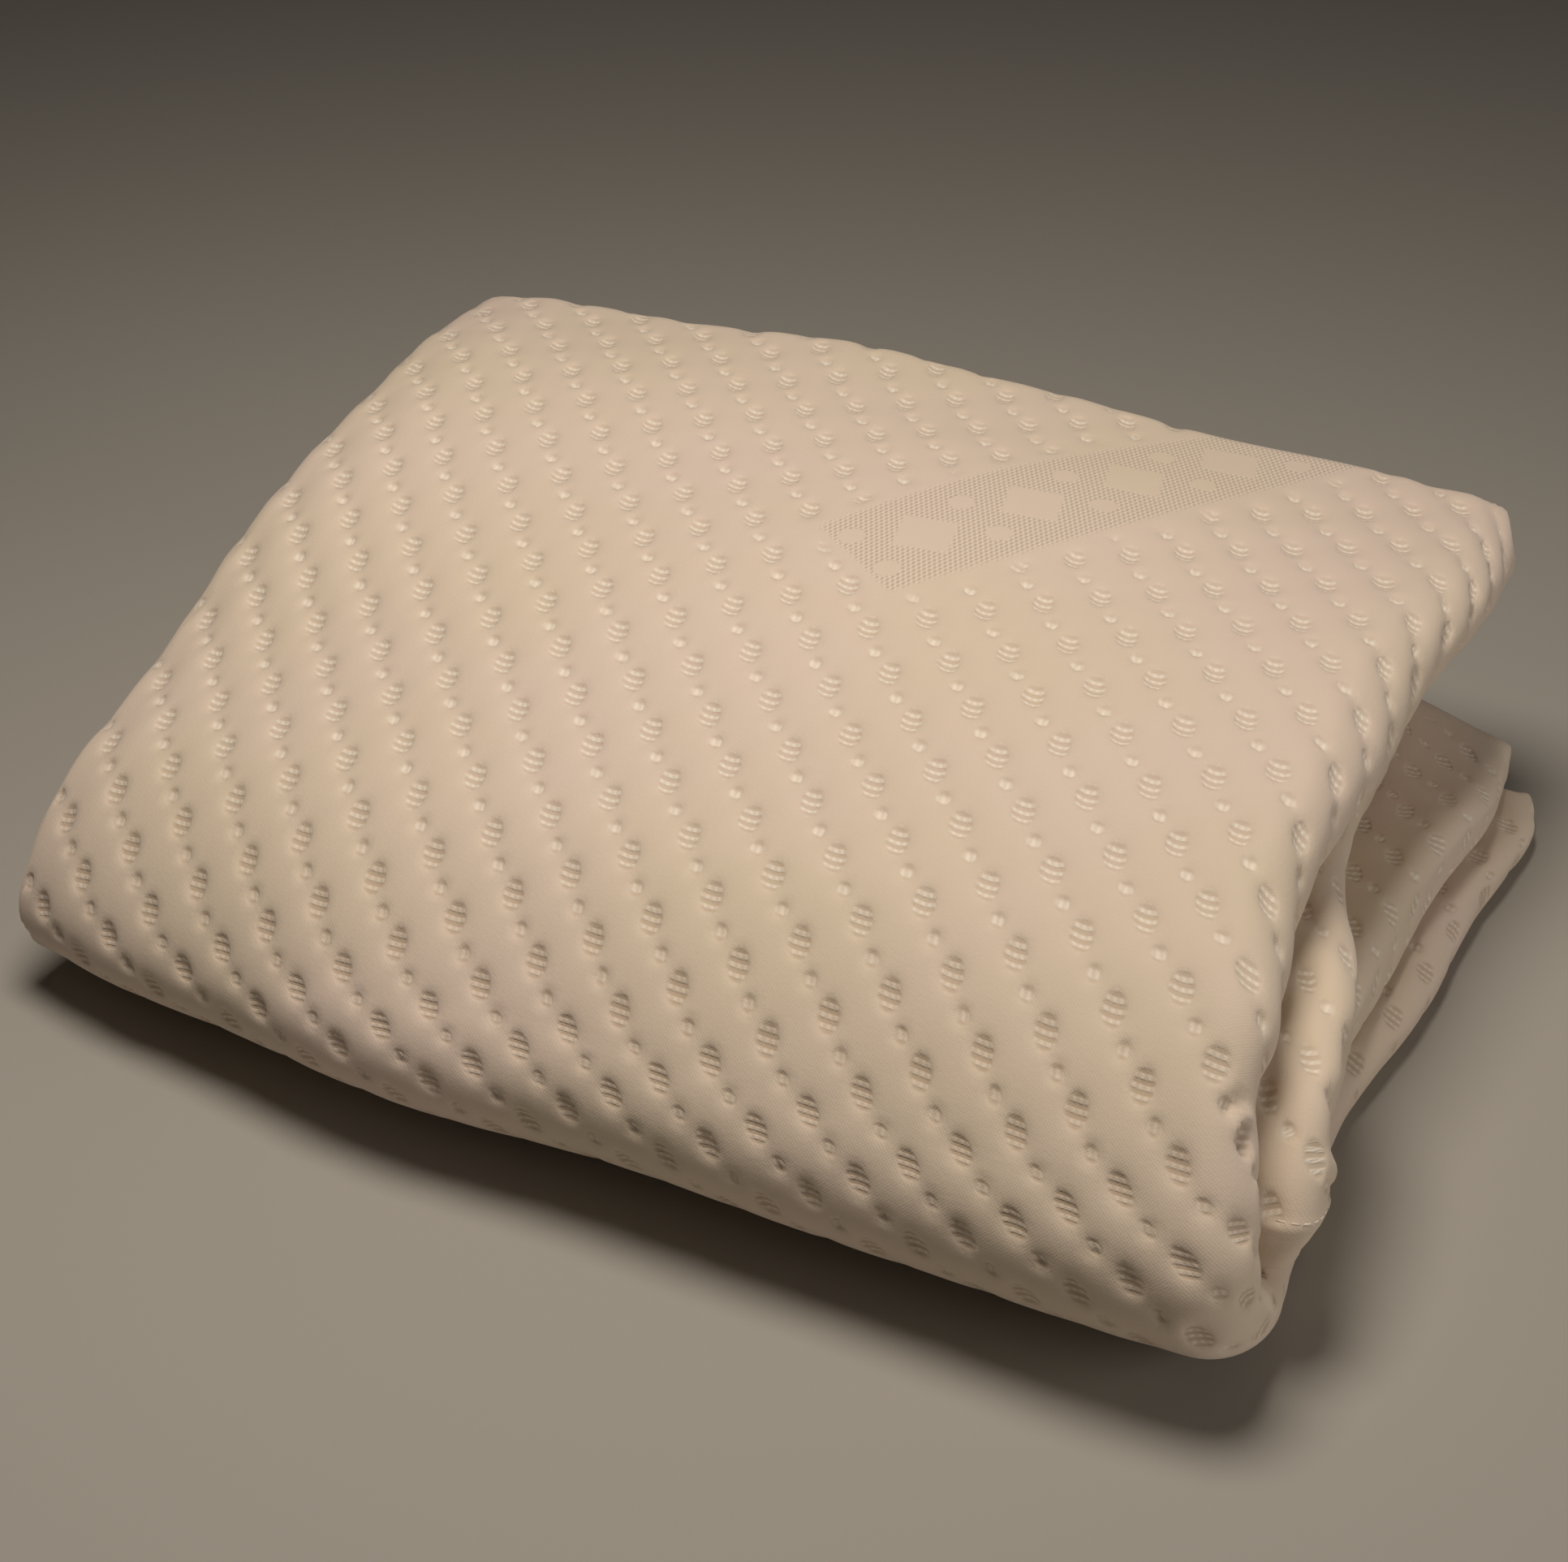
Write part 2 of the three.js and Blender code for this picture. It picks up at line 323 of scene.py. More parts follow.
def span_lines(layer):
    """Shares across one layer, from its left end, each with a label."""
    if layer == 0:
        return [(t, "top") for t in np.linspace(0, 1, TOP_LINES)]
    if layer in (3, 4, 7):
        start = 1 - MARGIN / SPAN
        inside = [(t, f"hidden {layer}") for t in np.linspace(0, start, HIDDEN_LINES)[:-1]]
        return inside + [(t, f"margin {layer}") for t in np.linspace(start, 1, int(MARGIN / FINE) + 1)]
    if layer in (2, 5):
        hem = HEM_STEPS / SPAN
        inside = [(t, f"hidden {layer}") for t in np.linspace(hem[-1], 1, HIDDEN_LINES)[1:]]
        return [(t, f"side hem {layer}") for t in hem] + inside
    return [(t, f"hidden {layer}") for t in np.linspace(0, 1, HIDDEN_LINES)]


def section_lines():
    """Each line along the cloth: label, kind, the two layers it lies between, and its share."""
    lines = []
    for i, layer in enumerate(PATH):
        to_right = i % 2 == 0
        spans = span_lines(layer)
        lines += [(label, "span", layer, layer, t) for t, label in (spans if to_right else spans[::-1])]
        if i < len(PATH) - 1:
            after = PATH[i + 1]
            count = TURN_LINES[(layer, after)]
            kind = "right" if to_right else "left"
            lines += [(f"turn {layer}-{after}", kind, layer, after, j / count) for j in range(1, count)]
    return lines


def station_lines():
    """Stations along the way, close together at the ends and evenly spaced over the front."""
    ends = HEM_STEPS / (BACK - TURN)
    upper = np.linspace(ends[-1], 1, STRETCHES["upper"] + 1)[1:]
    angles = np.linspace(0, np.pi, 721)
    y, z = front_curve(np.zeros_like(angles), False, angles)
    way = np.concatenate([[0], np.cumsum(np.hypot(np.diff(y), np.diff(z)))])
    fold = 1 + np.interp(np.linspace(0, way[-1], STRETCHES["front"] + 1)[1:], way, angles) / np.pi
    lower = 2 + np.linspace(0, 1 - ends[-1], STRETCHES["lower"] + 1)[1:]
    cuts = [int(c) for c in np.cumsum([0, *STRETCHES.values()])]
    bands = dict(zip(STRETCHES, zip(cuts, cuts[1:])))
    return np.concatenate([ends, upper, fold, lower, 3 - ends[::-1][1:]]), bands


lines = section_lines()
labels = np.array([line[0] for line in lines])
stations, bands = station_lines()
INNER_BULGE = ("margin 4", "turn 4-7", "margin 7")
TOP_MIDDLE = int(np.flatnonzero(labels == "top")[TOP_LINES // 2])  # the line down the middle of the top


def on_lines(*names):
    return np.isin(labels, names)


print(len(stations), "stations by", len(lines), "lines")

# %% [markdown]
# Each line now gets its place. On a layer it is a share of the way across, and on a turn it goes round half
# a circle whose radius is half the distance between the two layers that it joins.

# %% The middle of the cloth
BOXY = 0.5  # the inner bulge on the right is pressed flat by the layer over it; 1 is round, 0 a square


def way_round(square, share):
    """Reach outwards and share of the depth at a share of the way round a turn, in even steps."""
    angles = np.linspace(0, math.pi, 401)
    reach = np.sin(angles) ** square
    opened = np.sign(np.cos(angles)) * np.abs(np.cos(angles)) ** square
    way = np.concatenate([[0], np.cumsum(np.hypot(np.diff(reach), np.diff(opened)))])
    return np.interp(share * way[-1], way, reach), np.interp(share * way[-1], way, (1 - opened) / 2)


def middle_of_cloth():
    count = (len(stations), len(lines))
    x, depth = np.zeros(count), np.zeros(count)
    centres = [right_centre(packet, stations) for packet in (0, 1)]
    left = np.full(len(stations), LEFT_CENTRE)
    for j, (_, kind, a, b, t) in enumerate(lines):
        centre = left if kind == "left" else centres[a // PACKET]
        if kind == "span":
            x[:, j], depth[:, j] = mix(LEFT_CENTRE, centre, t), a
            continue
        outward = -1 if kind == "left" else 1
        reach, share = way_round(BOXY if (a, b) == (4, 7) else 1.0, t)
        x[:, j] = centre + outward * turn_radius(centre, a, b, stations) * reach
        depth[:, j] = mix(a, b, share)
    points, thick = place(x, depth, stations[:, None])
    return points, thick, depth


middle, thickness, depths = middle_of_cloth()
print("thickness from", thickness.min().round(2), "to", thickness.max().round(2), "mm")

# %% [markdown]
# The knit's own coordinates come next: how far along the sheet and across it a point lies. Every pattern is
# laid out in them, so it follows the folds as the knitting does.

# %% Places in the flat cloth


def unit(v):
    return v / np.maximum(np.linalg.norm(v, axis=-1, keepdims=True), 1e-9)


def flat_places(points):
    """Distance across and along the sheet, told from the middle of the top and from the turn."""
    step = np.linalg.norm(np.diff(points, axis=1), axis=-1)
    across = np.concatenate([np.zeros((len(stations), 1)), np.cumsum(step, 1)], 1)
    across += (points[:, TOP_MIDDLE, 0] - across[:, TOP_MIDDLE])[:, None]
    step = np.linalg.norm(np.diff(points, axis=0), axis=-1)
    along = -np.concatenate([np.zeros((1, len(lines))), np.cumsum(step, 0)], 0)
    along += TURN - along[bands["front"][0]]
    return across, along


across_mm, along_mm = flat_places(middle)

# %% [markdown]
# A real stack never lies in perfect rows. A few slow waves lean and shift it all together. Because they
# move whole regions of space, neighbouring layers move nearly alike. In the back corners some of the layers
# still cut a little into each other.

# %% Settling the stack
STACK, UNDER = 115.0, 76.0  # height of the stack, and of the cloth that can droop, mm
DROOP, LEAN_OUT = 21.0, 2.6  # how far the back right corner drops and the left wall leans, mm
HUMP_BACK, HUMP_UP = 2.5, 2.2  # a swelling in the middle of the back, mm backwards and up
HUMP_X, HUMP_WIDTH = -10.0, 75.0  # mm
WAVES = [  # axis it moves along, where it is felt, height in mm, mm a radian along x, y and z or 0, and start
    (0, "with height", 1.2, (0, 43, 0), 0.6),
    (0, "right", 1.5, (0, 18, 11), 0.0),
    (0, "right", 1.0, (0, 33, -15), 1.0),
    (1, "front", 1.3, (39, 0, 0), 1.0),
    (1, "front", 0.8, (17, 0, 23), 0.0),
    (1, "back", 1.6, (31, 0, 12), 0.0),
    (1, "back", 1.0, (14, 0, -8), 0.0),
    (2, "with height", 1.0, (49, 63, 0), 0.0),
    (2, "with height", 0.6, (24, -33, 0), 2.0),
]


def beyond(value, start, over):
    """0 up to a start, then growing to 1 over a length. A negative length grows the other way."""
    return ease((value - start) / over)


def settle(points, depths):
    """Leans and shifts the stack, and lets the back right corner droop, all but its top packet."""
    x, y, z = (points[..., k] for k in range(3))
    rise = z / STACK
    right, front, back = beyond(x, 110, 60), beyond(y, -92, -45), beyond(y, 95, 40)
    felt = {"with height": rise, "right": right, "front": front, "back": back}
    moved = np.zeros_like(points)
    for axis, where, height, lengths, start in WAVES:
        turn = start + sum(points[..., k] / length for k, length in enumerate(lengths) if length)
        moved[..., axis] += felt[where] * height * np.sin(turn)
    hump = back * np.exp(-(((x - HUMP_X) / HUMP_WIDTH) ** 2)) * np.clip(rise, 0, 1)
    left_wall = beyond(x, -120, -50) * beyond(y, -115, 25) * beyond(y, 95, -40)
    below = ~((depths < PACKET - 0.5) & (stations <= 1)[:, None])
    corner = below * beyond(x, 138, 45) * beyond(y, 60, 75) * np.clip(z / UNDER, 0, 1)
    moved[..., 0] += LEAN_OUT * rise * left_wall
    moved[..., 1] += HUMP_BACK * hump
    moved[..., 2] += HUMP_UP * hump - DROOP * corner
    return points + moved


middle = settle(middle, depths)
print("settled, highest point", middle[..., 2].max().round(1), "mm")

# %% [markdown]
# ## The quilting
# The knit is dimpled in slanting rows. In each row a large dimple and a small one take turns, and between
# the rows the cloth stands up in plump ridges. The rows are given by two steps: `ROW_STEP` from row to row
# and `DIMPLE_STEP` from one large dimple to the next in a row. Over the front bend the cloth is drawn, which
# shifts the rows a little.

# %% Rows of dimples
ROW_STEP = np.array([13.0, 9.2])  # from a dimple to its neighbour in the next row, mm across and along
DIMPLE_STEP = np.array([13.8, -16.1])  # from one large dimple to the next in its row, mm
STEPS_PER_MM = np.linalg.inv(np.stack([ROW_STEP, DIMPLE_STEP], 1))
PATTERN_START = (3.3, 0.6)  # row and place in the row at the middle of the folding tables
DRAWN_FROM, DRAWN_OVER = -150.0, 45.0  # the stretch over the front that is drawn, mm along
DRAWN_SHIFT = (-0.8, 0.25)  # rows and places in the row that it shifts by
INNER_LARGE = (178.4, -92.8)  # a large dimple on the inner bulge, mm to the right and along
INNER_STEPS_PER_MM = np.linalg.inv(np.array([[5.9, 14.65], [13.9, -11.9]]))  # the cloth lies askew there


def level_places():
    """Place along the cloth for the pattern. Round the front corner a bulge's own lines differ in length, so
    all of them take the place of the line next to the flat cloth, which keeps the dimples upright."""
    level = along_mm.copy()
    top_end, inner_start = np.flatnonzero(labels == "top")[-1], np.flatnonzero(labels == "turn 4-7")[0]
    for at, names, begins in (
        (top_end, ("turn 0-3", "margin 3"), 1.0),
        (inner_start, INNER_BULGE, 1.05),
    ):
        there = np.flatnonzero(on_lines(*names))
        taken = ease((stations - begins) / 0.12)[:, None]
        level[:, there] = mix(along_mm[:, there], along_mm[:, [at]], taken)
    return level


def pattern_places(across, along):
    """Row number and place in the row, in units of the two steps."""
    drawn = ease((DRAWN_FROM - along) / DRAWN_OVER)
    return [
        start + per_across * across + per_along * along + shift * drawn
        for start, (per_across, per_along), shift in zip(PATTERN_START, STEPS_PER_MM, DRAWN_SHIFT)
    ]


def on_inner_bulge(rows, dimples):
    """The inner bulge lies askew, with its own place in the rows, counted from one of its large dimples."""
    lines_there = np.flatnonzero(on_lines(*INNER_BULGE))
    start = int(np.flatnonzero(labels == "turn 4-7")[0])
    across = across_mm - across_mm[:, [start]] + middle[:, [start], 0] - INNER_LARGE[0]
    along = level_mm - INNER_LARGE[1]
    for places, (per_across, per_along) in zip((rows, dimples), INNER_STEPS_PER_MM):
        places[:, lines_there] = (per_across * across + per_along * along)[:, lines_there]
    return rows, dimples


level_mm = level_places()
rows, dimples = on_inner_bulge(*pattern_places(across_mm, level_mm))
print("rows", rows.min().round(), "to", rows.max().round())

# %% [markdown]
# Each large dimple is an oval of mesh stitches, longer along the cloth than across and leaning a little, and
# each small one is a single tuck. The mesh can hold only the soft hollow round them, because its points are
# 1.8 mm apart. The crisp rim and the little rungs of yarn inside come later, from the material.

# %% Wells
LARGE = (2.9, 4.6)  # half width and half length of a large dimple, mm
SMALL = (1.8, 2.2)
SMALL_PLACE = (-0.07, 0.51)  # a small dimple's place between two large ones, in rows and dimples
LEAN = 0.2  # sideways lean for each mm of length
ACROSS_STEPS = (ROW_STEP[0] + LEAN * ROW_STEP[1], DIMPLE_STEP[0] + LEAN * DIMPLE_STEP[1])
ALONG_STEPS = (ROW_STEP[1], DIMPLE_STEP[1])


def distance_to(rows, dimples, size):
    """Distance from the nearest dimple's middle, as a share of its size."""
    i, j = rows - np.round(rows), dimples - np.round(dimples)
    nearest = np.full(rows.shape, 9.0)
    for di in (-1, 0, 1):
        for dj in (-1, 0, 1):
            u = (i + di) * ACROSS_STEPS[0] + (j + dj) * ACROSS_STEPS[1]
            v = (i + di) * ALONG_STEPS[0] + (j + dj) * ALONG_STEPS[1]
            nearest = np.minimum(nearest, np.hypot(u / size[0], v / size[1]))
    return nearest


to_large = distance_to(rows, dimples, LARGE)
to_small = distance_to(rows - SMALL_PLACE[0], dimples - SMALL_PLACE[1], SMALL)
print("share of the cloth in dimples:", ((to_large < 1) | (to_small < 1)).mean().round(3))

# %% [markdown]
# Near the right end of the top a band of finer knit crosses the cloth. It has no dimples. Its ground is an
# open mesh stitch, and plain lozenges and dots stand in it.

# %% The band
BAND_START = np.array([10.5, 12.0])  # middle of its left end, mm across and along
BAND_WAY = unit(np.array([0.585, 0.811]))
BAND_HALF, BAND_LENGTH = 20.0, 230.0  # mm
BAND_WAVER, BAND_WAVE = 2.0, 34.0  # its edges waver by this much, a radian in that many mm
BAND_EDGE, BAND_END = 1.6, 2.0  # mm over which the edges and the far end fade
CLEAR_BESIDE, CLEAR_BEFORE, CLEAR_EDGE = 7.0, 6.0, 4.0  # cloth round the band that has no dimples, mm


def band_places(across, along):
    """Distance along the band, distance from its middle line, and how surely a point lies in it."""
    u, v = across - BAND_START[0], along - BAND_START[1]
    way = u * BAND_WAY[0] + v * BAND_WAY[1]
    off = u * BAND_WAY[1] - v * BAND_WAY[0]
    half = BAND_HALF + BAND_WAVER * np.sin(way / BAND_WAVE)
    end = ease((BAND_LENGTH - way) / BAND_END)
    inside = ease((half - np.abs(off)) / BAND_EDGE + 0.5) * ease(way / BAND_EDGE + 0.5) * end
    clear_half, clear_way = half + CLEAR_BESIDE, way + CLEAR_BEFORE
    clear = ease((clear_half - np.abs(off)) / CLEAR_EDGE) * ease(clear_way / CLEAR_EDGE) * end
    return way, off, inside, clear


band_way, band_off, band_in, band_clear = band_places(across_mm, along_mm)
print("band covers", (band_in > 0.5).sum(), "points")

# %% [markdown]
# The relief of the quilted face is put together here: ridges between the rows, wells in them, and calm
# stretches where the real cloth is plain, such as the band, the hems, the hidden layers and the underside.

# %% Relief
RIDGE, DEPTH, PUCKER = 0.32, 1.0, 0.5  # height of the ridges and depth of the wells and puckers, mm
SEAM_STATION, SEAM_WIDTH, SEAM_HEIGHT = 1.425, 1.6, 0.6  # width and height in mm
LEAST_CLOTH = 0.9  # mm that a crease leaves
WELL_FLOOR, WELL_WALL = 0.5, 0.8  # flat part of a well and its sloping wall, as shares of the dimple
PUCKER_LARGE, PUCKER_SMALL = 1.75, 2.1  # how far a pucker reaches, as shares of the dimple
SMALL_SHARE = 0.8  # how deep a small dimple's pucker is beside a large one's
# stations over the front, and the share of the ridges that the drawn cloth has left there
DRAWN_TIGHT = (0.8, 1.15, 1.4, 1.7), (1.0, 0.65, 0.6, 0.22)


def fade_into_margins():
    """1 on the showing stretches, falling to 0 along the margins that run in between the layers."""
    shown = on_lines("top", "turn 0-3", "turn 4-7", "turn 1-0", "turn 7-6").astype(float)
    for name, inwards in (("margin 3", True), ("margin 4", False), ("margin 7", True)):
        at = np.flatnonzero(labels == name)
        ramp = np.linspace(1, 0, len(at)) if inwards else np.linspace(0, 1, len(at))
        shown[at] = ease(ramp * 2)
    return shown


def showing():
    """1 where the quilted face shows, 0 where it is hidden, pressed flat, hemmed or beyond the seam."""
    amount = np.tile(fade_into_margins(), (len(stations), 1))
    amount[:, on_lines("top")] *= (1 - ease((stations - 1.8) / 0.2))[:, None]
    beyond_seam = ease((stations - SEAM_STATION + 0.02) / 0.02) * (1 - ease((stations - 2.0) / 0.1))
    amount[:, on_lines(*INNER_BULGE)] *= (1 - beyond_seam)[:, None]
    from_end = np.minimum(stations, 3 - stations) * (BACK - TURN)
    return amount * ease((from_end - 8) / 6)[:, None]


def seam():
    """A round welt across the inner bulge, where a second length of knit is sewn on."""
    row = int(np.abs(stations - SEAM_STATION).argmin())
    distance = along_mm - along_mm[row]
    return SEAM_HEIGHT * np.exp(-((distance / SEAM_WIDTH) ** 2)) * on_lines(*INNER_BULGE)


def bend():
    """1 where the outer cloth is drawn over the front bend: its wells are deeper there, and the material
    paints more shade into its dimples.
    """
    outer = on_lines("top", "turn 0-3", "turn 1-0")
    return ease((stations - 0.95) / 0.3)[:, None] * outer[None, :]


def quilting():
    """Ridges between the rows, wells at the dimples and the shallow pucker that each well pulls round it."""
    ridges = np.abs(np.sin(np.pi * rows)) ** 1.2 - 0.6
    large, small = (1 - ease((d - WELL_FLOOR) / WELL_WALL) for d in (to_large, to_small))
    pucker = np.exp(-((to_large / PUCKER_LARGE) ** 2))
    pucker = np.maximum(pucker, SMALL_SHARE * np.exp(-((to_small / PUCKER_SMALL) ** 2)))
    uneven = 1 + 0.22 * np.sin(across_mm / 37 + 1.3 * np.sin(along_mm / 51)) * np.sin(along_mm / 43 + 2.0)
    uneven += 0.35 * ease((across_mm - 70) / 90) * (across_mm < 400)
    drawn = np.interp(stations, DRAWN_TIGHT[0], DRAWN_TIGHT[1])[:, None]
    pressed = (1 - 0.5 * ease((stations - 1.5) / 0.6))[:, None]
    wells = (pressed + 0.35 * bend() * (stations < 1.5)[:, None]) * DEPTH * (large + small)
    return uneven * drawn * (RIDGE * ridges - PUCKER * pucker) - wells


amount = showing()
quilted_share = amount * (1 - band_clear)
relief = quilted_share * quilting() + seam()
print("relief from", relief.min().round(2), "to", relief.max().round(2), "mm")

# %% [markdown]
# Handling has left a few creases. Each is listed in the cloth's own millimetres, as a soft trough
# between two points that fades out at both ends. A negative depth makes a ridge.

# %% Creases
CREASES = [  # from (across, along), to (across, along), width, depth, all in mm
    ((174.5, -127), (171, -135.5), 2.4, 1.8),
    ((178, -128.5), (174.5, -138), 2.2, -0.9),
    ((178.5, -132), (179.5, -140.5), 2.2, 1.9),
    ((181.5, -133), (188, -139), 1.6, 0.8),
    ((188, -139), (189.5, -148), 1.8, 1.2),
    ((184, -134), (186, -150), 1.8, -0.5),
    ((190, -152), (187, -170), 2.2, 1.0),
    ((187, -170), (172, -188), 2.6, 0.9),
    ((883, -10), (886, -40), 4.0, 2.2),
    ((886, -40), (892, -86), 4.5, 2.6),
    ((893, -96), (912, -101), 3.0, 1.4),
]


def creases():
    total = np.zeros_like(relief)
    for (u0, v0), (u1, v1), width, depth in CREASES:
        du, dv = u1 - u0, v1 - v0
        length = math.hypot(du, dv)
        way = ((across_mm - u0) * du + (along_mm - v0) * dv) / length
        off = ((across_mm - u0) * dv - (along_mm - v0) * du) / length
        ends = ease((way + width) / (2 * width)) * ease((length + width - way) / (2 * width))
        total -= depth * ends * np.exp(-((off / width) ** 2))
    return total


relief = np.maximum(relief + creases(), LEAST_CLOTH - thickness)
print(len(CREASES), "creases, deepest", max(row[3] for row in CREASES), "mm")

# %% [markdown]
# ## Two faces and their edges
# The quilted face lies on one side of the middle of the cloth and the smooth back on the other. At every
# free end the cloth is turned in and sewn, which makes the edge a little thicker and round.

# %% Offsetting the faces
HEM_DEPTH, HEM_PLUMP, HEM_ROUND = 6.4, 0.14, 2.4  # mm turned in, share it is thicker by, mm of rounding


def tangent(points, axis):
    step = unit(np.diff(points, axis=axis))
    first, last = np.take(step, [0], axis), np.take(step, [-1], axis)
    return unit(np.concatenate([first, step], axis) + np.concatenate([step, last], axis))


def hem_profile():
    """Thickness near the free ends: thicker in the hem, round at its very edge."""
    from_end = np.minimum(stations, 3 - stations) * (BACK - TURN)
    from_side = np.full(len(labels), 99.0)
    for name in ("side hem 2", "side hem 5"):
        at = np.flatnonzero(labels == name)
        from_side[at] = HEM_STEPS if name.endswith("2") else HEM_STEPS[::-1]
    result = []
    for distance in (from_end, from_side):
        bulge = 1 + HEM_PLUMP * (1 - ease((distance - HEM_DEPTH) / 3))
        rounding = np.sqrt(np.clip(1 - (1 - np.clip(distance / HEM_ROUND, 0, 1)) ** 2, 0.05, 1))
        result.append(bulge * rounding)
    return result[0][:, None] * result[1][None, :]


normal = unit(np.cross(tangent(middle, 0), tangent(middle, 1)))
half = thickness * hem_profile() / 2
quilted_face = middle + normal * (half + relief)[..., None]
smooth_face = middle - normal * half[..., None]
print("quilted face on top looks", normal[bands["upper"][1] // 2, TOP_MIDDLE].round(2))

# %% [markdown]
# Now the points become cells. A table says, for each stretch of lines and each stretch of stations, how many
# grid steps one cell spans. Where a small cell meets a long one, the long one simply takes the extra points
# into its outline, so the cloth stays closed without slivers.

# %% Cells
QUILTED_STEPS = {  # label: steps along in back hem, upper, front, lower, low hem, and steps across
    "top": ((1, 1), (1, 1), (1, 1), (8, 8), (2, 8)),
    "turn 0-3": ((1, 1), (1, 1), (1, 1), (1, 1), (1, 1)),
    "turn 4-7": ((1, 1), (2, 1), (1, 1), (1, 1), (1, 1)),
    "turn 1-0": ((1, 1), (3, 1), (2, 1), (4, 1), (1, 1)),
    "turn 7-6": ((1, 1), (4, 1), (4, 1), (4, 1), (1, 1)),
    "margin 3": ((1, 1), (2, 2), (1, 1), (2, 2), (1, 1)),
    "margin 4": ((1, 1), (2, 2), (1, 1), (2, 1), (1, 1)),
    "margin 7": ((1, 1), (2, 2), (1, 1), (2, 2), (1, 1)),
}
SMOOTH_STEPS = {
    "top": ((1, 8), (8, 8), (4, 8), (8, 16), (2, 16)),
    "turn 0-3": ((1, 3), (8, 3), (4, 3), (8, 3), (1, 3)),
    "turn 4-7": ((1, 3), (8, 3), (4, 3), (8, 3), (1, 3)),
}
PLAIN_STEPS = ((1, 1), (8, 1), (4, 1), (8, 1), (1, 1))
MARGIN_STEPS = ((1, 5), (8, 5), (4, 5), (8, 5), (1, 5))


def stretches():
    """Runs of lines with one label: label, first line and the first line of the next run."""
    starts = [0] + [j for j in range(1, len(labels)) if labels[j] != labels[j - 1]]
    ends = starts[1:] + [len(labels) - 1]
    return [(labels[a], a, b) for a, b in zip(starts, ends)]


def steps_of(label, quilted):
    table = QUILTED_STEPS if quilted else SMOOTH_STEPS
    if label in table:
        return table[label]
    return MARGIN_STEPS if label.startswith("margin") else PLAIN_STEPS


def cell_blocks(quilted):
    blocks = []
    for label, a, b in stretches():
        for (r0, r1), (down, over) in zip(bands.values(), steps_of(label, quilted)):
            blocks.append((sorted({*range(r0, r1, down), r1}), sorted({*range(a, b, over), b})))
    return blocks


def outline(used, r0, r1, c0, c1):
    """All used points round a cell, in the order that makes the quilted face look outwards."""
    walk = [(r, c0) for r in range(r0, r1)] + [(r1, c) for c in range(c0, c1)]
    walk += [(r, c1) for r in range(r1, r0, -1)] + [(r0, c) for c in range(c1, c0, -1)]
    return [p for p in walk if used[p]]


def face_cells(quilted):
    used = np.zeros(middle.shape[:2], bool)
    blocks = cell_blocks(quilted)
    for row_cuts, column_cuts in blocks:
        used[np.ix_(row_cuts, column_cuts)] = True
    cells = []
    for row_cuts, column_cuts in blocks:
        for r0, r1 in zip(row_cuts, row_cuts[1:]):
            for c0, c1 in zip(column_cuts, column_cuts[1:]):
                cells.append(outline(used, r0, r1, c0, c1))
    return used, cells


def rim_cells(front_used, back_used):
    """Cells of the four edges, from quilted points and smooth points."""
    last_row, last_line = middle.shape[0] - 1, middle.shape[1] - 1
    sides = [
        ([(0, c) for c in range(last_line + 1)], True),
        ([(last_row, c) for c in range(last_line + 1)], False),
        ([(r, 0) for r in range(last_row + 1)], False),
        ([(r, last_line) for r in range(last_row + 1)], True),
    ]
    cells = []
    for walk, forward in sides:
        stops = [k for k, p in enumerate(walk) if back_used[p]]
        for a, b in zip(stops, stops[1:]):
            front = [("quilted", p) for p in walk[a : b + 1] if front_used[p]]
            back = [("smooth", walk[b]), ("smooth", walk[a])]
            cells.append(front + back if forward else front[::-1] + back[::-1])
    return cells


quilted_used, quilted_cells = face_cells(True)
smooth_used, smooth_cells = face_cells(False)
rims = rim_cells(quilted_used, smooth_used)
print(len(quilted_cells), "quilted cells,", len(smooth_cells), "smooth cells,", len(rims), "rim cells")

# %% [markdown]
# The mesh is made from those lists in one go. It carries the pattern with it: the place in the rows, the
# dimples and the band are stored on its points, and the material reads them.

# %% The cloth's mesh


def cloth_mesh():
    index = {"quilted": np.full(middle.shape[:2], -1), "smooth": np.full(middle.shape[:2], -1)}
    index["quilted"][quilted_used] = np.arange(quilted_used.sum())
    index["smooth"][smooth_used] = quilted_used.sum() + np.arange(smooth_used.sum())
    points = np.concatenate([quilted_face[quilted_used], smooth_face[smooth_used]])
    faces = [[int(index["quilted"][p]) for p in cell] for cell in quilted_cells]
    faces += [[int(index["smooth"][p]) for p in reversed(cell)] for cell in smooth_cells]
    faces += [[int(index[side][p]) for side, p in cell] for cell in rims]
    mesh = bpy.data.meshes.new("quilted_cover")
    mesh.from_pydata(to_scene(points).tolist(), [], faces)
    mesh.shade_smooth()
    plain = np.zeros(smooth_used.sum())

    def store(name, columns):
        layer = mesh.attributes.new(name, "FLOAT_VECTOR", "POINT")
        stacked = [
            np.concatenate([front[quilted_used], plain if back is None else back[smooth_used]])
            for front, back in columns
        ]
        layer.data.foreach_set("vector", np.stack(stacked, -1).astype(np.float32).ravel())

    # the third part marks the front bend, where the material paints more shade into the dimples
    store("dimple_place", [(rows, rows), (dimples, dimples), (bend(), None)])
    store("cloth_place", [(across_mm, across_mm), (level_mm, level_mm), (quilted_share, None)])
    store("band_place", [(band_way, None), (band_off, None), (amount * band_in, None)])
    return mesh


cover = bpy.data.objects.new("quilted_cover", cloth_mesh())
bpy.context.scene.collection.objects.link(cover)
cover.data.calc_loop_triangles()
print("quilted cover:", len(cover.data.loop_triangles), "triangles")

# %% [markdown]
# ## Finishes
# Two small helpers serve every material. One turns a colour as a screen shows it into the linear values that
# the shader works in. The other adds a node with its settings, values and links.

# %% Helpers for materials


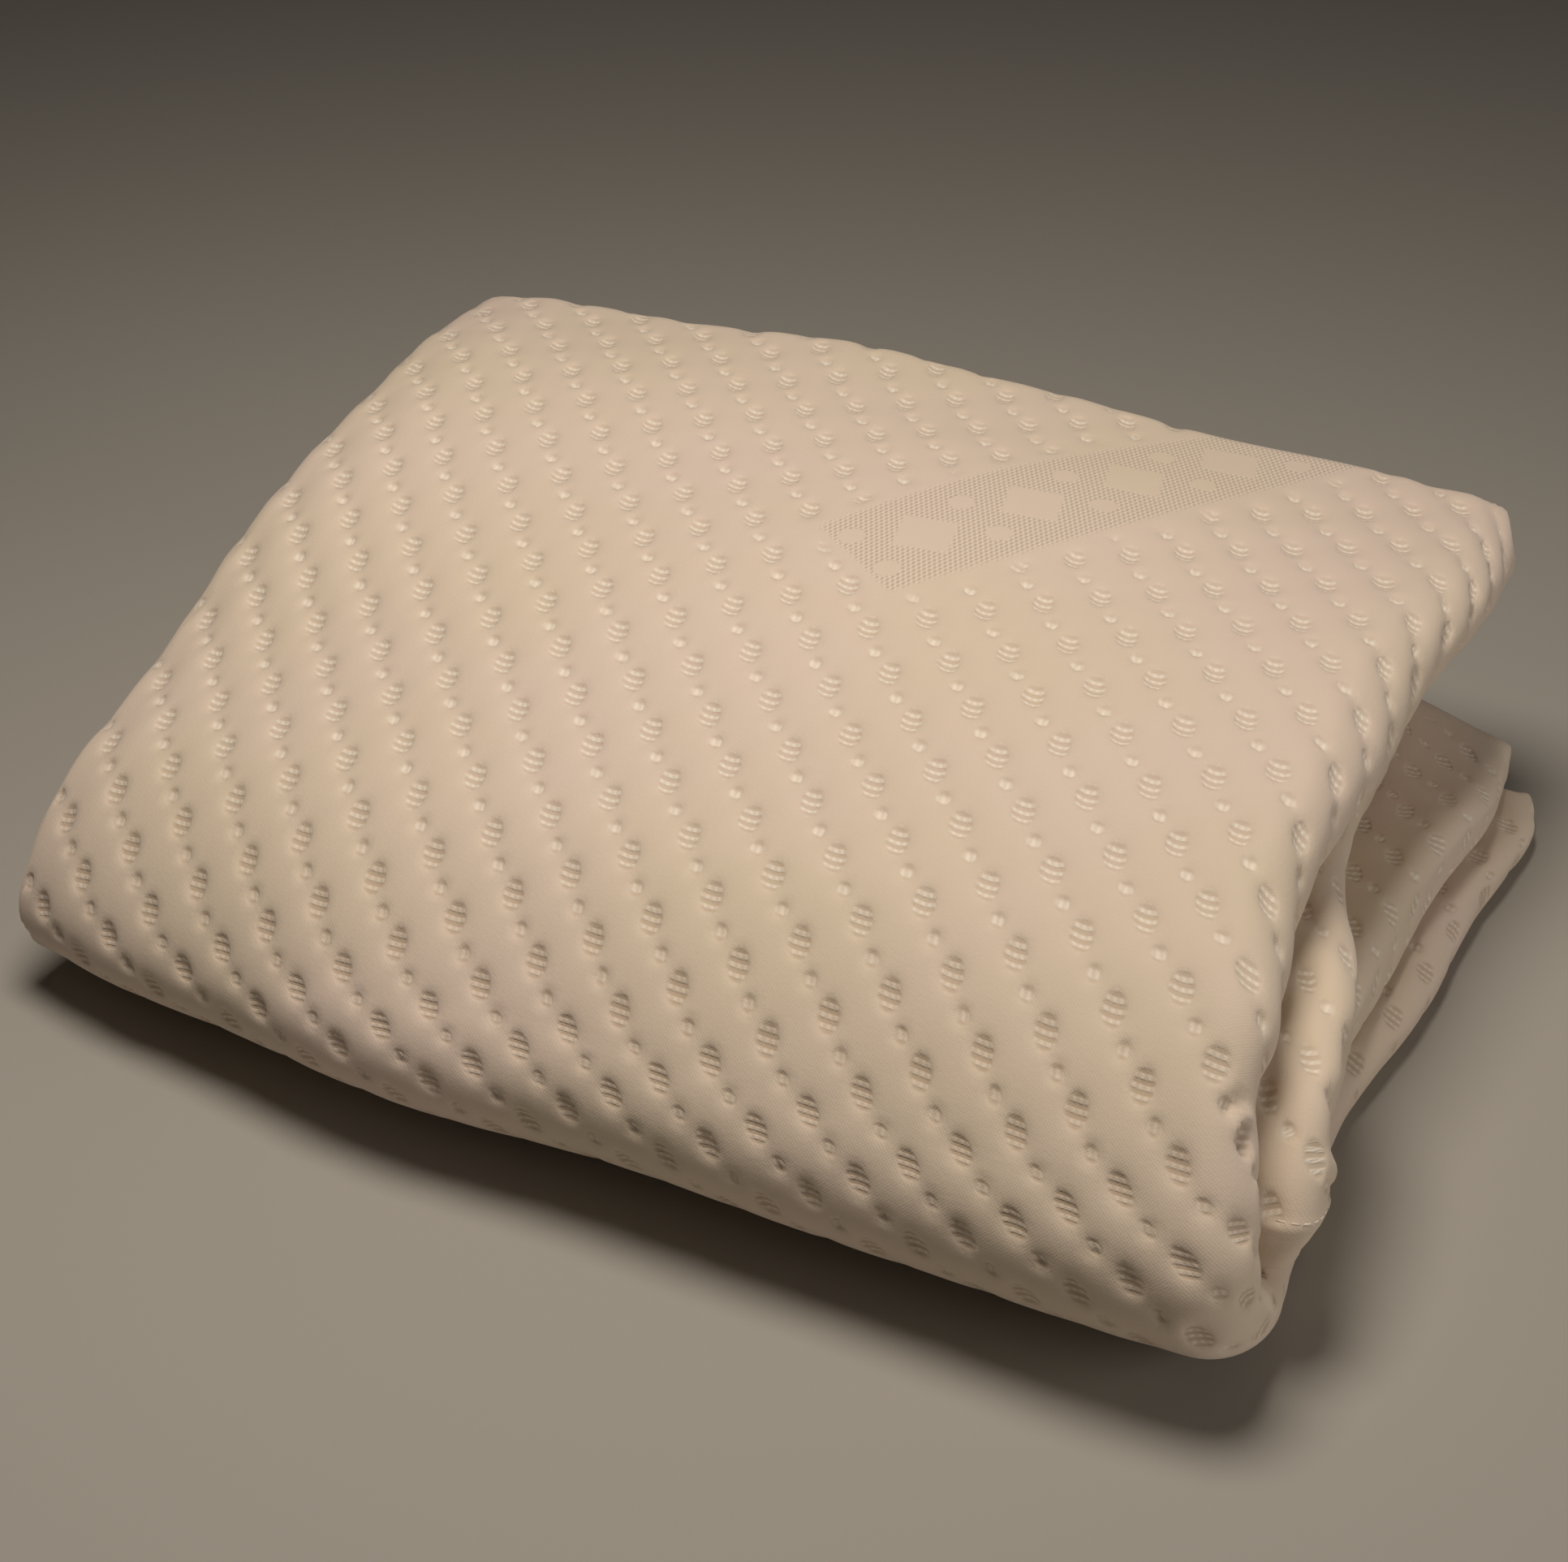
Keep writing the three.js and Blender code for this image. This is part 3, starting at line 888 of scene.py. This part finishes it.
def linear(code):
    """A hex colour, as a screen shows it, as linear red, green, blue and alpha."""
    channels = [int(code[k : k + 2], 16) / 255 for k in (1, 3, 5)]
    return [c / 12.92 if c <= 0.04045 else ((c + 0.055) / 1.055) ** 2.4 for c in channels] + [1.0]


def add_node(tree, kind, settings=None, sockets=None):
    """Adds a node. settings are its properties; a socket gets a value, or the output that feeds it."""
    node = tree.nodes.new(kind)
    for name, value in (settings or {}).items():
        setattr(node, name, value)
    for socket, given in (sockets or {}).items():
        if isinstance(given, bpy.types.NodeSocket):
            tree.links.new(given, node.inputs[socket])
        else:
            node.inputs[socket].default_value = given
    return node


print("middle grey in linear light:", round(linear("#808080")[0], 3))

# %% [markdown]
# The knit is a polyester jacquard, soft and matt, with a faint bloom where it turns away. In every dimple
# the yarn floats across in little rungs that catch the light. The material finds the nearest dimple from the
# places stored on the cloth: the fractions of the row and dimple numbers say how far off its middle is.

# %% Jacquard knit: where in a dimple
TAU = 2 * math.pi
RIM, FRAY = 0.75, 0.3  # a rim's softness in mm, and how far it frays as a share of the dimple
RIM_AT = 1.15  # where the rim lies, as a share of the dimple
# kinds and settings of nodes that come back many times
MATH, VECTOR, RANGE = "ShaderNodeMath", "ShaderNodeVectorMath", "ShaderNodeMapRange"
TIMES, PLUS, TIMES_PLUS = {"operation": "MULTIPLY"}, {"operation": "ADD"}, {"operation": "MULTIPLY_ADD"}
DOT_PRODUCT, SMOOTH = {"operation": "DOT_PRODUCT"}, {"interpolation_type": "SMOOTHSTEP"}
knit = bpy.data.materials.new("jacquard_knit")
knit.use_nodes = True
wires = knit.node_tree
wires.nodes.clear()
dimple_place, cloth_place, band_place = (
    add_node(wires, "ShaderNodeAttribute", {"attribute_name": name}).outputs["Vector"]
    for name in ("dimple_place", "cloth_place", "band_place")
)
# the edge of a dimple runs stitch by stitch, so it is never a clean oval
edge_noise = {"Vector": cloth_place, "Scale": 0.45, "Detail": 1.0}
fray = add_node(wires, "ShaderNodeTexNoise", {}, edge_noise).outputs["Fac"]


def dimple_share(size, place):
    """1 inside the dimples of one size, 0 outside, and the steps from the nearest one's middle."""
    to_corner = (0.5 - place[0], 0.5 - place[1], 0.0)
    shifted = add_node(wires, VECTOR, PLUS, {0: dimple_place, 1: to_corner}).outputs[0]
    fraction = add_node(wires, VECTOR, {"operation": "FRACTION"}, {0: shifted}).outputs[0]
    back = {0: fraction, 1: (0.5, 0.5, 0.0)}
    steps_away = add_node(wires, VECTOR, {"operation": "SUBTRACT"}, back).outputs[0]
    sides = {}
    for k, (steps, length) in enumerate(((ACROSS_STEPS, size[0]), (ALONG_STEPS, size[1]))):
        turn = (steps[0] / length, steps[1] / length, 0.0)
        sides[k] = add_node(wires, VECTOR, DOT_PRODUCT, {0: steps_away, 1: turn}).outputs["Value"]
    both = add_node(wires, "ShaderNodeCombineXYZ", {}, sides).outputs[0]
    far = add_node(wires, VECTOR, {"operation": "LENGTH"}, {0: both}).outputs["Value"]
    frayed = add_node(wires, MATH, TIMES_PLUS, {0: fray, 1: FRAY, 2: far}).outputs[0]
    rim = RIM / size[0]
    edges = {"From Min": RIM_AT - rim, "From Max": RIM_AT + rim, "To Min": 1.0, "To Max": 0.0}
    return add_node(wires, RANGE, SMOOTH, {"Value": frayed, **edges}).outputs[0], steps_away


in_large, from_large = dimple_share(LARGE, (0.0, 0.0))
in_small, from_small = dimple_share(SMALL, SMALL_PLACE)
either = add_node(wires, MATH, {"operation": "MAXIMUM"}, {0: in_large, 1: in_small}).outputs[0]
quilted_here = add_node(wires, "ShaderNodeSeparateXYZ", {}, {0: cloth_place}).outputs[2]
in_dimple = add_node(wires, MATH, TIMES, {0: either, 1: quilted_here}).outputs[0]
print("dimples in the shader:", len(wires.nodes), "nodes")

# %% [markdown]
# A rung is a ridge of yarn across the dimple. Four of them fit in a large dimple: the wave that draws them
# starts at the dimple's middle, and 4 waves from row to row and 6 back from dimple to dimple make them 2.7 mm
# apart. A small dimple has half as many waves, so one broad float fills it. Fainter columns cross the rungs
# where the yarns are caught.

# %% Jacquard knit: rungs
RUNG_WAVES, SMALL_RUNG_WAVES = (4.0, -6.0), (2.0, -3.0)
COLUMN = 1.7  # mm from one caught yarn to the next


def wave(turns, source):
    """A cosine wave over a vector; turns are whole waves for one unit of each part."""
    angle = add_node(wires, VECTOR, DOT_PRODUCT, {0: source, 1: [t * TAU for t in turns]}).outputs["Value"]
    return add_node(wires, MATH, {"operation": "COSINE"}, {0: angle}).outputs[0]


rungs = {}
dimple_sizes = (from_large, in_large, RUNG_WAVES), (from_small, in_small, SMALL_RUNG_WAVES)
for k, (near, inside, waves) in enumerate(dimple_sizes):
    rungs[k] = add_node(wires, MATH, TIMES, {0: wave((*waves, 0.0), near), 1: inside}).outputs[0]
rung = add_node(wires, MATH, PLUS, rungs).outputs[0]
rung_top = add_node(wires, RANGE, SMOOTH, {"Value": rung, "From Min": -0.7, "From Max": 0.8}).outputs[0]
column = wave((1 / COLUMN, LEAN / COLUMN, 0.0), cloth_place)
tied = {"Value": column, "From Min": -1.0, "From Max": 1.0, "To Min": 0.6, "To Max": 1.0}
caught = add_node(wires, RANGE, {}, tied).outputs[0]
yarn = add_node(wires, MATH, TIMES, {0: rung_top, 1: caught}).outputs[0]
yarn_here = add_node(wires, MATH, TIMES, {0: yarn, 1: in_dimple}).outputs[0]
print("rungs tied to", RUNG_WAVES, "waves a step")

# %% [markdown]
# The band is knitted in a finer mesh, on which plain lozenges and dots are left smooth. They are measured
# from the middle line of the band, so they follow it.

# %% Jacquard knit: the band
MOTIF = 36.0  # mm from one lozenge to the next
# start as a share of MOTIF, half width, half length and place off the middle line in mm, and a power: 1 gives
# straight sides and 2 round ones
LOZENGE, DOT = (-0.639, 12.0, 11.0, 0.0, 1.0), (-0.139, 4.0, 4.0, 10.0, 2.0)
MESH_COURSE, MESH_WALE = 3.4, 1.6  # mm
way_here, off_here, band_here = add_node(wires, "ShaderNodeSeparateXYZ", {}, {0: band_place}).outputs
motifs_here = add_node(wires, MATH, {"operation": "DIVIDE"}, {0: way_here, 1: MOTIF}).outputs[0]
beside = add_node(wires, MATH, {"operation": "ABSOLUTE"}, {0: off_here}).outputs[0]


def motif_edge(start, width, length, off_line, power):
    """Below 1 inside a motif and above 1 outside."""
    moved = add_node(wires, MATH, PLUS, {0: motifs_here, 1: start + 0.5}).outputs[0]
    part = add_node(wires, MATH, {"operation": "FRACT"}, {0: moved}).outputs[0]
    along = {0: part, 1: MOTIF / length, 2: -0.5 * MOTIF / length}
    across = {0: beside, 1: 1 / width, 2: -off_line / width}
    powers = {}
    for k, terms in enumerate((along, across)):
        side = add_node(wires, MATH, TIMES_PLUS, terms).outputs[0]
        far = add_node(wires, MATH, {"operation": "ABSOLUTE"}, {0: side}).outputs[0]
        powers[k] = add_node(wires, MATH, {"operation": "POWER"}, {0: far, 1: power}).outputs[0]
    return add_node(wires, MATH, PLUS, powers).outputs[0]


motif_edges = {0: motif_edge(*LOZENGE), 1: motif_edge(*DOT)}
motif = add_node(wires, MATH, {"operation": "MINIMUM"}, motif_edges).outputs[0]
off_motif = add_node(wires, RANGE, SMOOTH, {"Value": motif, "From Min": 0.9, "From Max": 1.1}).outputs[0]
in_mesh = add_node(wires, MATH, TIMES, {0: off_motif, 1: band_here}).outputs[0]
mesh_course, mesh_wale = (
    wave(turns, cloth_place) for turns in ((0.0, 1 / MESH_COURSE, 0.0), (1 / MESH_WALE, 0.0, 0.0))
)
mesh_yarn = add_node(wires, MATH, TIMES, {0: mesh_course, 1: mesh_wale}).outputs[0]
mesh_here = add_node(wires, MATH, TIMES, {0: mesh_yarn, 1: in_mesh}).outputs[0]
print("band motif every", MOTIF, "mm")

# %% [markdown]
# All heights are added up in millimetres and drive one bump. Under everything lies the plain jersey: wales
# 1 mm apart and courses 0.9 mm apart, drawn a little coarser than real so that they show in a close view.

# %% Jacquard knit: heights
WALE, COURSE = 1.0, 0.9  # mm
wale, course = (wave(turns, cloth_place) for turns in ((1 / WALE, 0.0, 0.0), (0.0, 1 / COURSE, 0.0)))
jersey = add_node(wires, MATH, TIMES, {0: wale, 1: course}).outputs[0]
object_place = add_node(wires, "ShaderNodeTexCoord").outputs["Object"]
fine_noise = {"Vector": object_place, "Scale": 900.0, "Detail": 3.0, "Roughness": 0.6}
fuzz = add_node(wires, "ShaderNodeTexNoise", {}, fine_noise).outputs["Fac"]
HEIGHTS = [  # what is there, and how far it rises, mm
    (in_dimple, -0.28),
    (yarn_here, 0.2),
    (mesh_here, 0.16),
    (in_mesh, -0.1),
    (jersey, 0.015),
    (fuzz, 0.08),
]
height = 0.0
for source, rise in HEIGHTS:
    height = add_node(wires, MATH, TIMES_PLUS, {0: source, 1: rise, 2: height}).outputs[0]
relief_in_light = {"Strength": 1.0, "Distance": MM, "Height": height}
bump = add_node(wires, "ShaderNodeBump", {}, relief_in_light).outputs["Normal"]
print("bump from", len(HEIGHTS), "heights")

# %% [markdown]
# The colour is a warm ivory. It drifts slowly between a rosier and a yellower tone, as undyed knit does. The
# smooth floating yarn in the dimples and in the band gets a painted highlight, a little lighter than the
# ground, and the gaps between the yarns get painted shade. Over the front bend, where the dimples fall into
# shade, the painted shade in the gaps is stronger and the painted highlight on the floats is weaker.

# %% Jacquard knit: colour and shine
# the knit's own rosy and yellow tones, then a painted highlight for the floating yarn and painted shade for
# the gaps between yarns
ROSY, YELLOW, FLOAT_HIGHLIGHT_TONE, GAP_SHADE_TONE = (linear(code) for code in ("#e6d3c5", "#e3d3bd", "#fbf1e3", "#bfa88f"))
COLOUR_A, COLOUR_B, MIXED = 6, 7, 2  # the colour sockets of a Mix node
slow_noise = {"Vector": object_place, "Scale": 11.0, "Detail": 2.0, "Roughness": 0.5}
drift = add_node(wires, "ShaderNodeTexNoise", {}, slow_noise).outputs["Fac"]
drift_share = add_node(wires, RANGE, {}, {"Value": drift, "From Min": 0.35, "From Max": 0.65}).outputs[0]
# opened marks the front bend, where the dimples fall into shade: there the floats get less painted highlight
# and the gaps more painted shade
opened = add_node(wires, "ShaderNodeSeparateXYZ", {}, {0: dimple_place}).outputs[2]
# painted highlight on the band's mesh yarns, and painted shade in the band's mesh gaps
mesh_highlight, mesh_gap_shade = (
    add_node(wires, MATH, {**TIMES, "use_clamp": True}, {0: mesh_here, 1: share}).outputs[0]
    for share in (0.7, -0.65)
)
# strength of the painted highlight on the floats, weaker over the front bend
float_highlight_strength = add_node(wires, MATH, TIMES_PLUS, {0: opened, 1: -0.6, 2: 0.95}).outputs[0]
painted_float_highlight = add_node(wires, MATH, TIMES_PLUS, {0: yarn_here, 1: float_highlight_strength, 2: mesh_highlight}).outputs[0]
# painted shade in the gaps between the floats of a dimple, stronger over the front bend
dimple_gap = add_node(wires, MATH, {"operation": "SUBTRACT"}, {0: in_dimple, 1: yarn_here}).outputs[0]
gap_shade_strength = add_node(wires, MATH, TIMES_PLUS, {0: opened, 1: 0.4, 2: 0.22}).outputs[0]
painted_gap_shade = add_node(wires, MATH, TIMES_PLUS, {0: dimple_gap, 1: gap_shade_strength, 2: mesh_gap_shade}).outputs[0]
# the knit's own tones first, then the painted highlight on the floats, then the painted shade in the gaps
colour = ROSY
for share, tone in ((drift_share, YELLOW), (painted_float_highlight, FLOAT_HIGHLIGHT_TONE), (painted_gap_shade, GAP_SHADE_TONE)):
    tones = {0: share, COLOUR_A: colour, COLOUR_B: tone}
    colour = add_node(wires, "ShaderNodeMix", {"data_type": "RGBA"}, tones).outputs[MIXED]
shine = add_node(wires, RANGE, {}, {"Value": painted_float_highlight, "To Min": 0.88, "To Max": 0.6}).outputs[0]
finish = {"IOR": 1.45, "Specular IOR Level": 0.3, "Sheen Weight": 0.25, "Sheen Roughness": 0.5}
finish.update({"Base Color": colour, "Roughness": shine, "Normal": bump})
cloth_shader = add_node(wires, "ShaderNodeBsdfPrincipled", {}, finish).outputs["BSDF"]
add_node(wires, "ShaderNodeOutputMaterial", {}, {"Surface": cloth_shader})
cover.data.materials.append(knit)
print("knit material has", len(wires.nodes), "nodes")

# %% [markdown]
# ## Stitches
# The end that rolls down over the back is turned in and held by a row of short stitches, and a second row
# holds the seam on the inner bulge. They are modelled, because they catch the light as small beads. Both
# rows start as a line of points on the quilted face, 6.4 mm in from the end and 2 mm above the seam.

# %% Lines of stitching
HEM_ROW = 5  # the station that lies 6.4 mm in from the end


def stitch_lines():
    """Points of the two lines on the quilted face, the cloth's normal there, and the edges along them."""
    seam_row = int(np.abs(stations - SEAM_STATION).argmin()) - 1
    hem_at = np.flatnonzero(labels == "top")
    seam_at = np.flatnonzero(on_lines(*INNER_BULGE))
    points = np.concatenate([quilted_face[HEM_ROW, hem_at], quilted_face[seam_row, seam_at]])
    normals = np.concatenate([normal[HEM_ROW, hem_at], normal[seam_row, seam_at]])
    edges = [(k, k + 1) for k in range(len(points) - 1) if k != len(hem_at) - 1]
    return points, normals, edges


line_points, line_normals, line_edges = stitch_lines()
line_mesh = bpy.data.meshes.new("stitch_lines")
line_mesh.from_pydata(to_scene(line_points).tolist(), line_edges, [])
line_up = line_mesh.attributes.new("cloth_normal", "FLOAT_VECTOR", "POINT")
line_up.data.foreach_set("vector", line_normals.astype(np.float32).ravel())
stitch_row = bpy.data.objects.new("stitch_lines", line_mesh)
bpy.context.scene.collection.objects.link(stitch_row)
print("stitching lines:", len(line_points), "points")

# %% [markdown]
# The thread is spun polyester, a shade lighter than the knit and a little glossier, because its fibres lie
# side by side.

# %% Polyester thread
thread = bpy.data.materials.new("polyester_thread")
thread.use_nodes = True
thread_shader = thread.node_tree.nodes["Principled BSDF"]
thread_shader.inputs["Base Color"].default_value = linear("#efe4d6")
thread_shader.inputs["Roughness"].default_value = 0.55
thread_shader.inputs["Sheen Weight"].default_value = 0.15
print("thread roughness", thread_shader.inputs["Roughness"].default_value)

# %% [markdown]
# Geometry Nodes walk along the lines. They set a point at every pitch, turn a small rounded bar so that it
# follows the line and lies on the cloth, and vary its size a little. The sizes are inputs of the tree, so
# they can be changed in one place.

# %% The stitching tree
stitching = bpy.data.node_groups.new("stitching", "GeometryNodeTree")
STITCH_SIZES = {"Pitch": 3.0 * MM, "Length": 2.7 * MM, "Thread": 0.42 * MM}
BALL = {"Segments": 6, "Rings": 5}
for way in ("INPUT", "OUTPUT"):
    stitching.interface.new_socket(name="Geometry", in_out=way, socket_type="NodeSocketGeometry")
size_sockets = {
    name: stitching.interface.new_socket(name=name, in_out="INPUT", socket_type="NodeSocketFloat")
    for name in STITCH_SIZES
}
ALIGN, LEAST, MOST, SEED = "FunctionNodeAlignRotationToVector", 2, 3, 8  # the last three are sockets
given = add_node(stitching, "NodeGroupInput").outputs
path = add_node(stitching, "GeometryNodeMeshToCurve", {}, {"Mesh": given["Geometry"]}).outputs[0]
spacing = {"Curve": path, "Length": given["Pitch"]}
spaced = add_node(stitching, "GeometryNodeResampleCurve", {"mode": "LENGTH"}, spacing).outputs[0]
along_line = add_node(stitching, "GeometryNodeInputTangent").outputs[0]
stored = "GeometryNodeInputNamedAttribute"
off_cloth = add_node(stitching, stored, {"data_type": "FLOAT_VECTOR"}, {"Name": "cloth_normal"}).outputs[0]
lying = add_node(stitching, ALIGN, {"axis": "X"}, {"Vector": along_line}).outputs[0]
upright = {"Rotation": lying, "Vector": off_cloth}
turned = add_node(stitching, ALIGN, {"axis": "Z", "pivot_axis": "X"}, upright).outputs[0]
uneven = {LEAST: 0.88, MOST: 1.08, SEED: 7}
pulled_size = add_node(stitching, "FunctionNodeRandomValue", {"data_type": "FLOAT"}, uneven).outputs[1]
half_length, half_thread = (
    add_node(stitching, MATH, TIMES, {0: given[name], 1: 0.5}).outputs[0] for name in ("Length", "Thread")
)
half_sizes = {0: half_length, 1: half_thread, 2: half_thread}
bar_size = add_node(stitching, "ShaderNodeCombineXYZ", {}, half_sizes).outputs[0]
ball = add_node(stitching, "GeometryNodeMeshUVSphere", {}, {**BALL, "Radius": 1.0}).outputs[0]
bar = add_node(stitching, "GeometryNodeTransform", {}, {"Geometry": ball, "Scale": bar_size}).outputs[0]
placed = {"Points": spaced, "Instance": bar, "Rotation": turned, "Scale": pulled_size}
bars = add_node(stitching, "GeometryNodeInstanceOnPoints", {}, placed).outputs[0]
real = add_node(stitching, "GeometryNodeRealizeInstances", {}, {"Geometry": bars}).outputs[0]
dressing = {"Geometry": real, "Material": thread}
dressed = add_node(stitching, "GeometryNodeSetMaterial", {}, dressing).outputs[0]
add_node(stitching, "NodeGroupOutput", {}, {"Geometry": dressed})
print("stitching tree has", len(stitching.nodes), "nodes")

# %% [markdown]
# The tree works as a modifier on the lines. Its result becomes a plain mesh of its own, and the lines go.

# %% Sewing
sewing = stitch_row.modifiers.new("sewing", "NODES")
sewing.node_group = stitching
for name, socket in size_sockets.items():
    sewing[socket.identifier] = STITCH_SIZES[name]
graph = bpy.context.evaluated_depsgraph_get()
stitch_mesh = bpy.data.meshes.new_from_object(stitch_row.evaluated_get(graph), depsgraph=graph)
stitch_mesh.name = "stitches"
stitch_mesh.shade_smooth()
stitch_row.modifiers.remove(sewing)
bpy.data.objects.remove(stitch_row)
stitches = bpy.data.objects.new("stitches", stitch_mesh)
bpy.context.scene.collection.objects.link(stitches)
print("stitches:", len(stitch_mesh.polygons) // (BALL["Segments"] * BALL["Rings"]))

# %% [markdown]
# ## Telling the frame
# The cover stands for the plain solid and moves with its only body, as the stitches do.

# %% Frame calls
for piece in (cover, stitches):
    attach(piece, "root")
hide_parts("quilted_cloth")

# %% [markdown]
# ## The stage
# A plain pale floor and soft lights. The large lamp hangs almost straight above, as in the room of the
# photograph, so the walls of the stack fall into shade. A second one, far off to the right, keeps the bulges
# readable.

# %% Floor and lights
REACH = 4.0  # metres from the middle to each side of the floor
corners = [(-REACH, -REACH, 0), (REACH, -REACH, 0), (REACH, REACH, 0), (-REACH, REACH, 0)]
floor_mesh = bpy.data.meshes.new("floor")
floor_mesh.from_pydata(corners, [], [(0, 1, 2, 3)])
floor = bpy.data.objects.new("floor", floor_mesh)
bpy.context.scene.collection.objects.link(floor)
pale = bpy.data.materials.new("pale_floor")
pale.use_nodes = True
pale_shader = pale.node_tree.nodes["Principled BSDF"]
pale_shader.inputs["Base Color"].default_value = linear("#aeaaa3")
pale_shader.inputs["Roughness"].default_value = 0.9
floor_mesh.materials.append(pale)

LAMPS = [  # name, place, aim, size, watts, colour
    ("overhead lamp", (-0.03, -0.12, 0.80), (-0.01, -0.05, 0.05), 0.36, 4.25, "#fff4e6"),
    ("side fill", (1.4, -0.1, 0.42), (0.05, 0.0, 0.05), 0.8, 4.3, "#fff6ec"),
]
for name, at, aim, size, watts, code in LAMPS:
    lamp = bpy.data.lights.new(name, "AREA")
    lamp.shape = "DISK"
    lamp.size = size
    lamp.energy = watts
    lamp.color = linear(code)[:3]
    stand = bpy.data.objects.new(name, lamp)
    stand.location = at
    stand.rotation_euler = (Vector(aim) - Vector(at)).to_track_quat("-Z", "Y").to_euler()
    bpy.context.scene.collection.objects.link(stand)

world = bpy.data.worlds.new("studio")
world.use_nodes = True
world.node_tree.nodes["Background"].inputs["Color"].default_value = linear("#fff6ec")
world.node_tree.nodes["Background"].inputs["Strength"].default_value = 0.025
bpy.context.scene.world = world
print("lamps:", [row[0] for row in LAMPS])
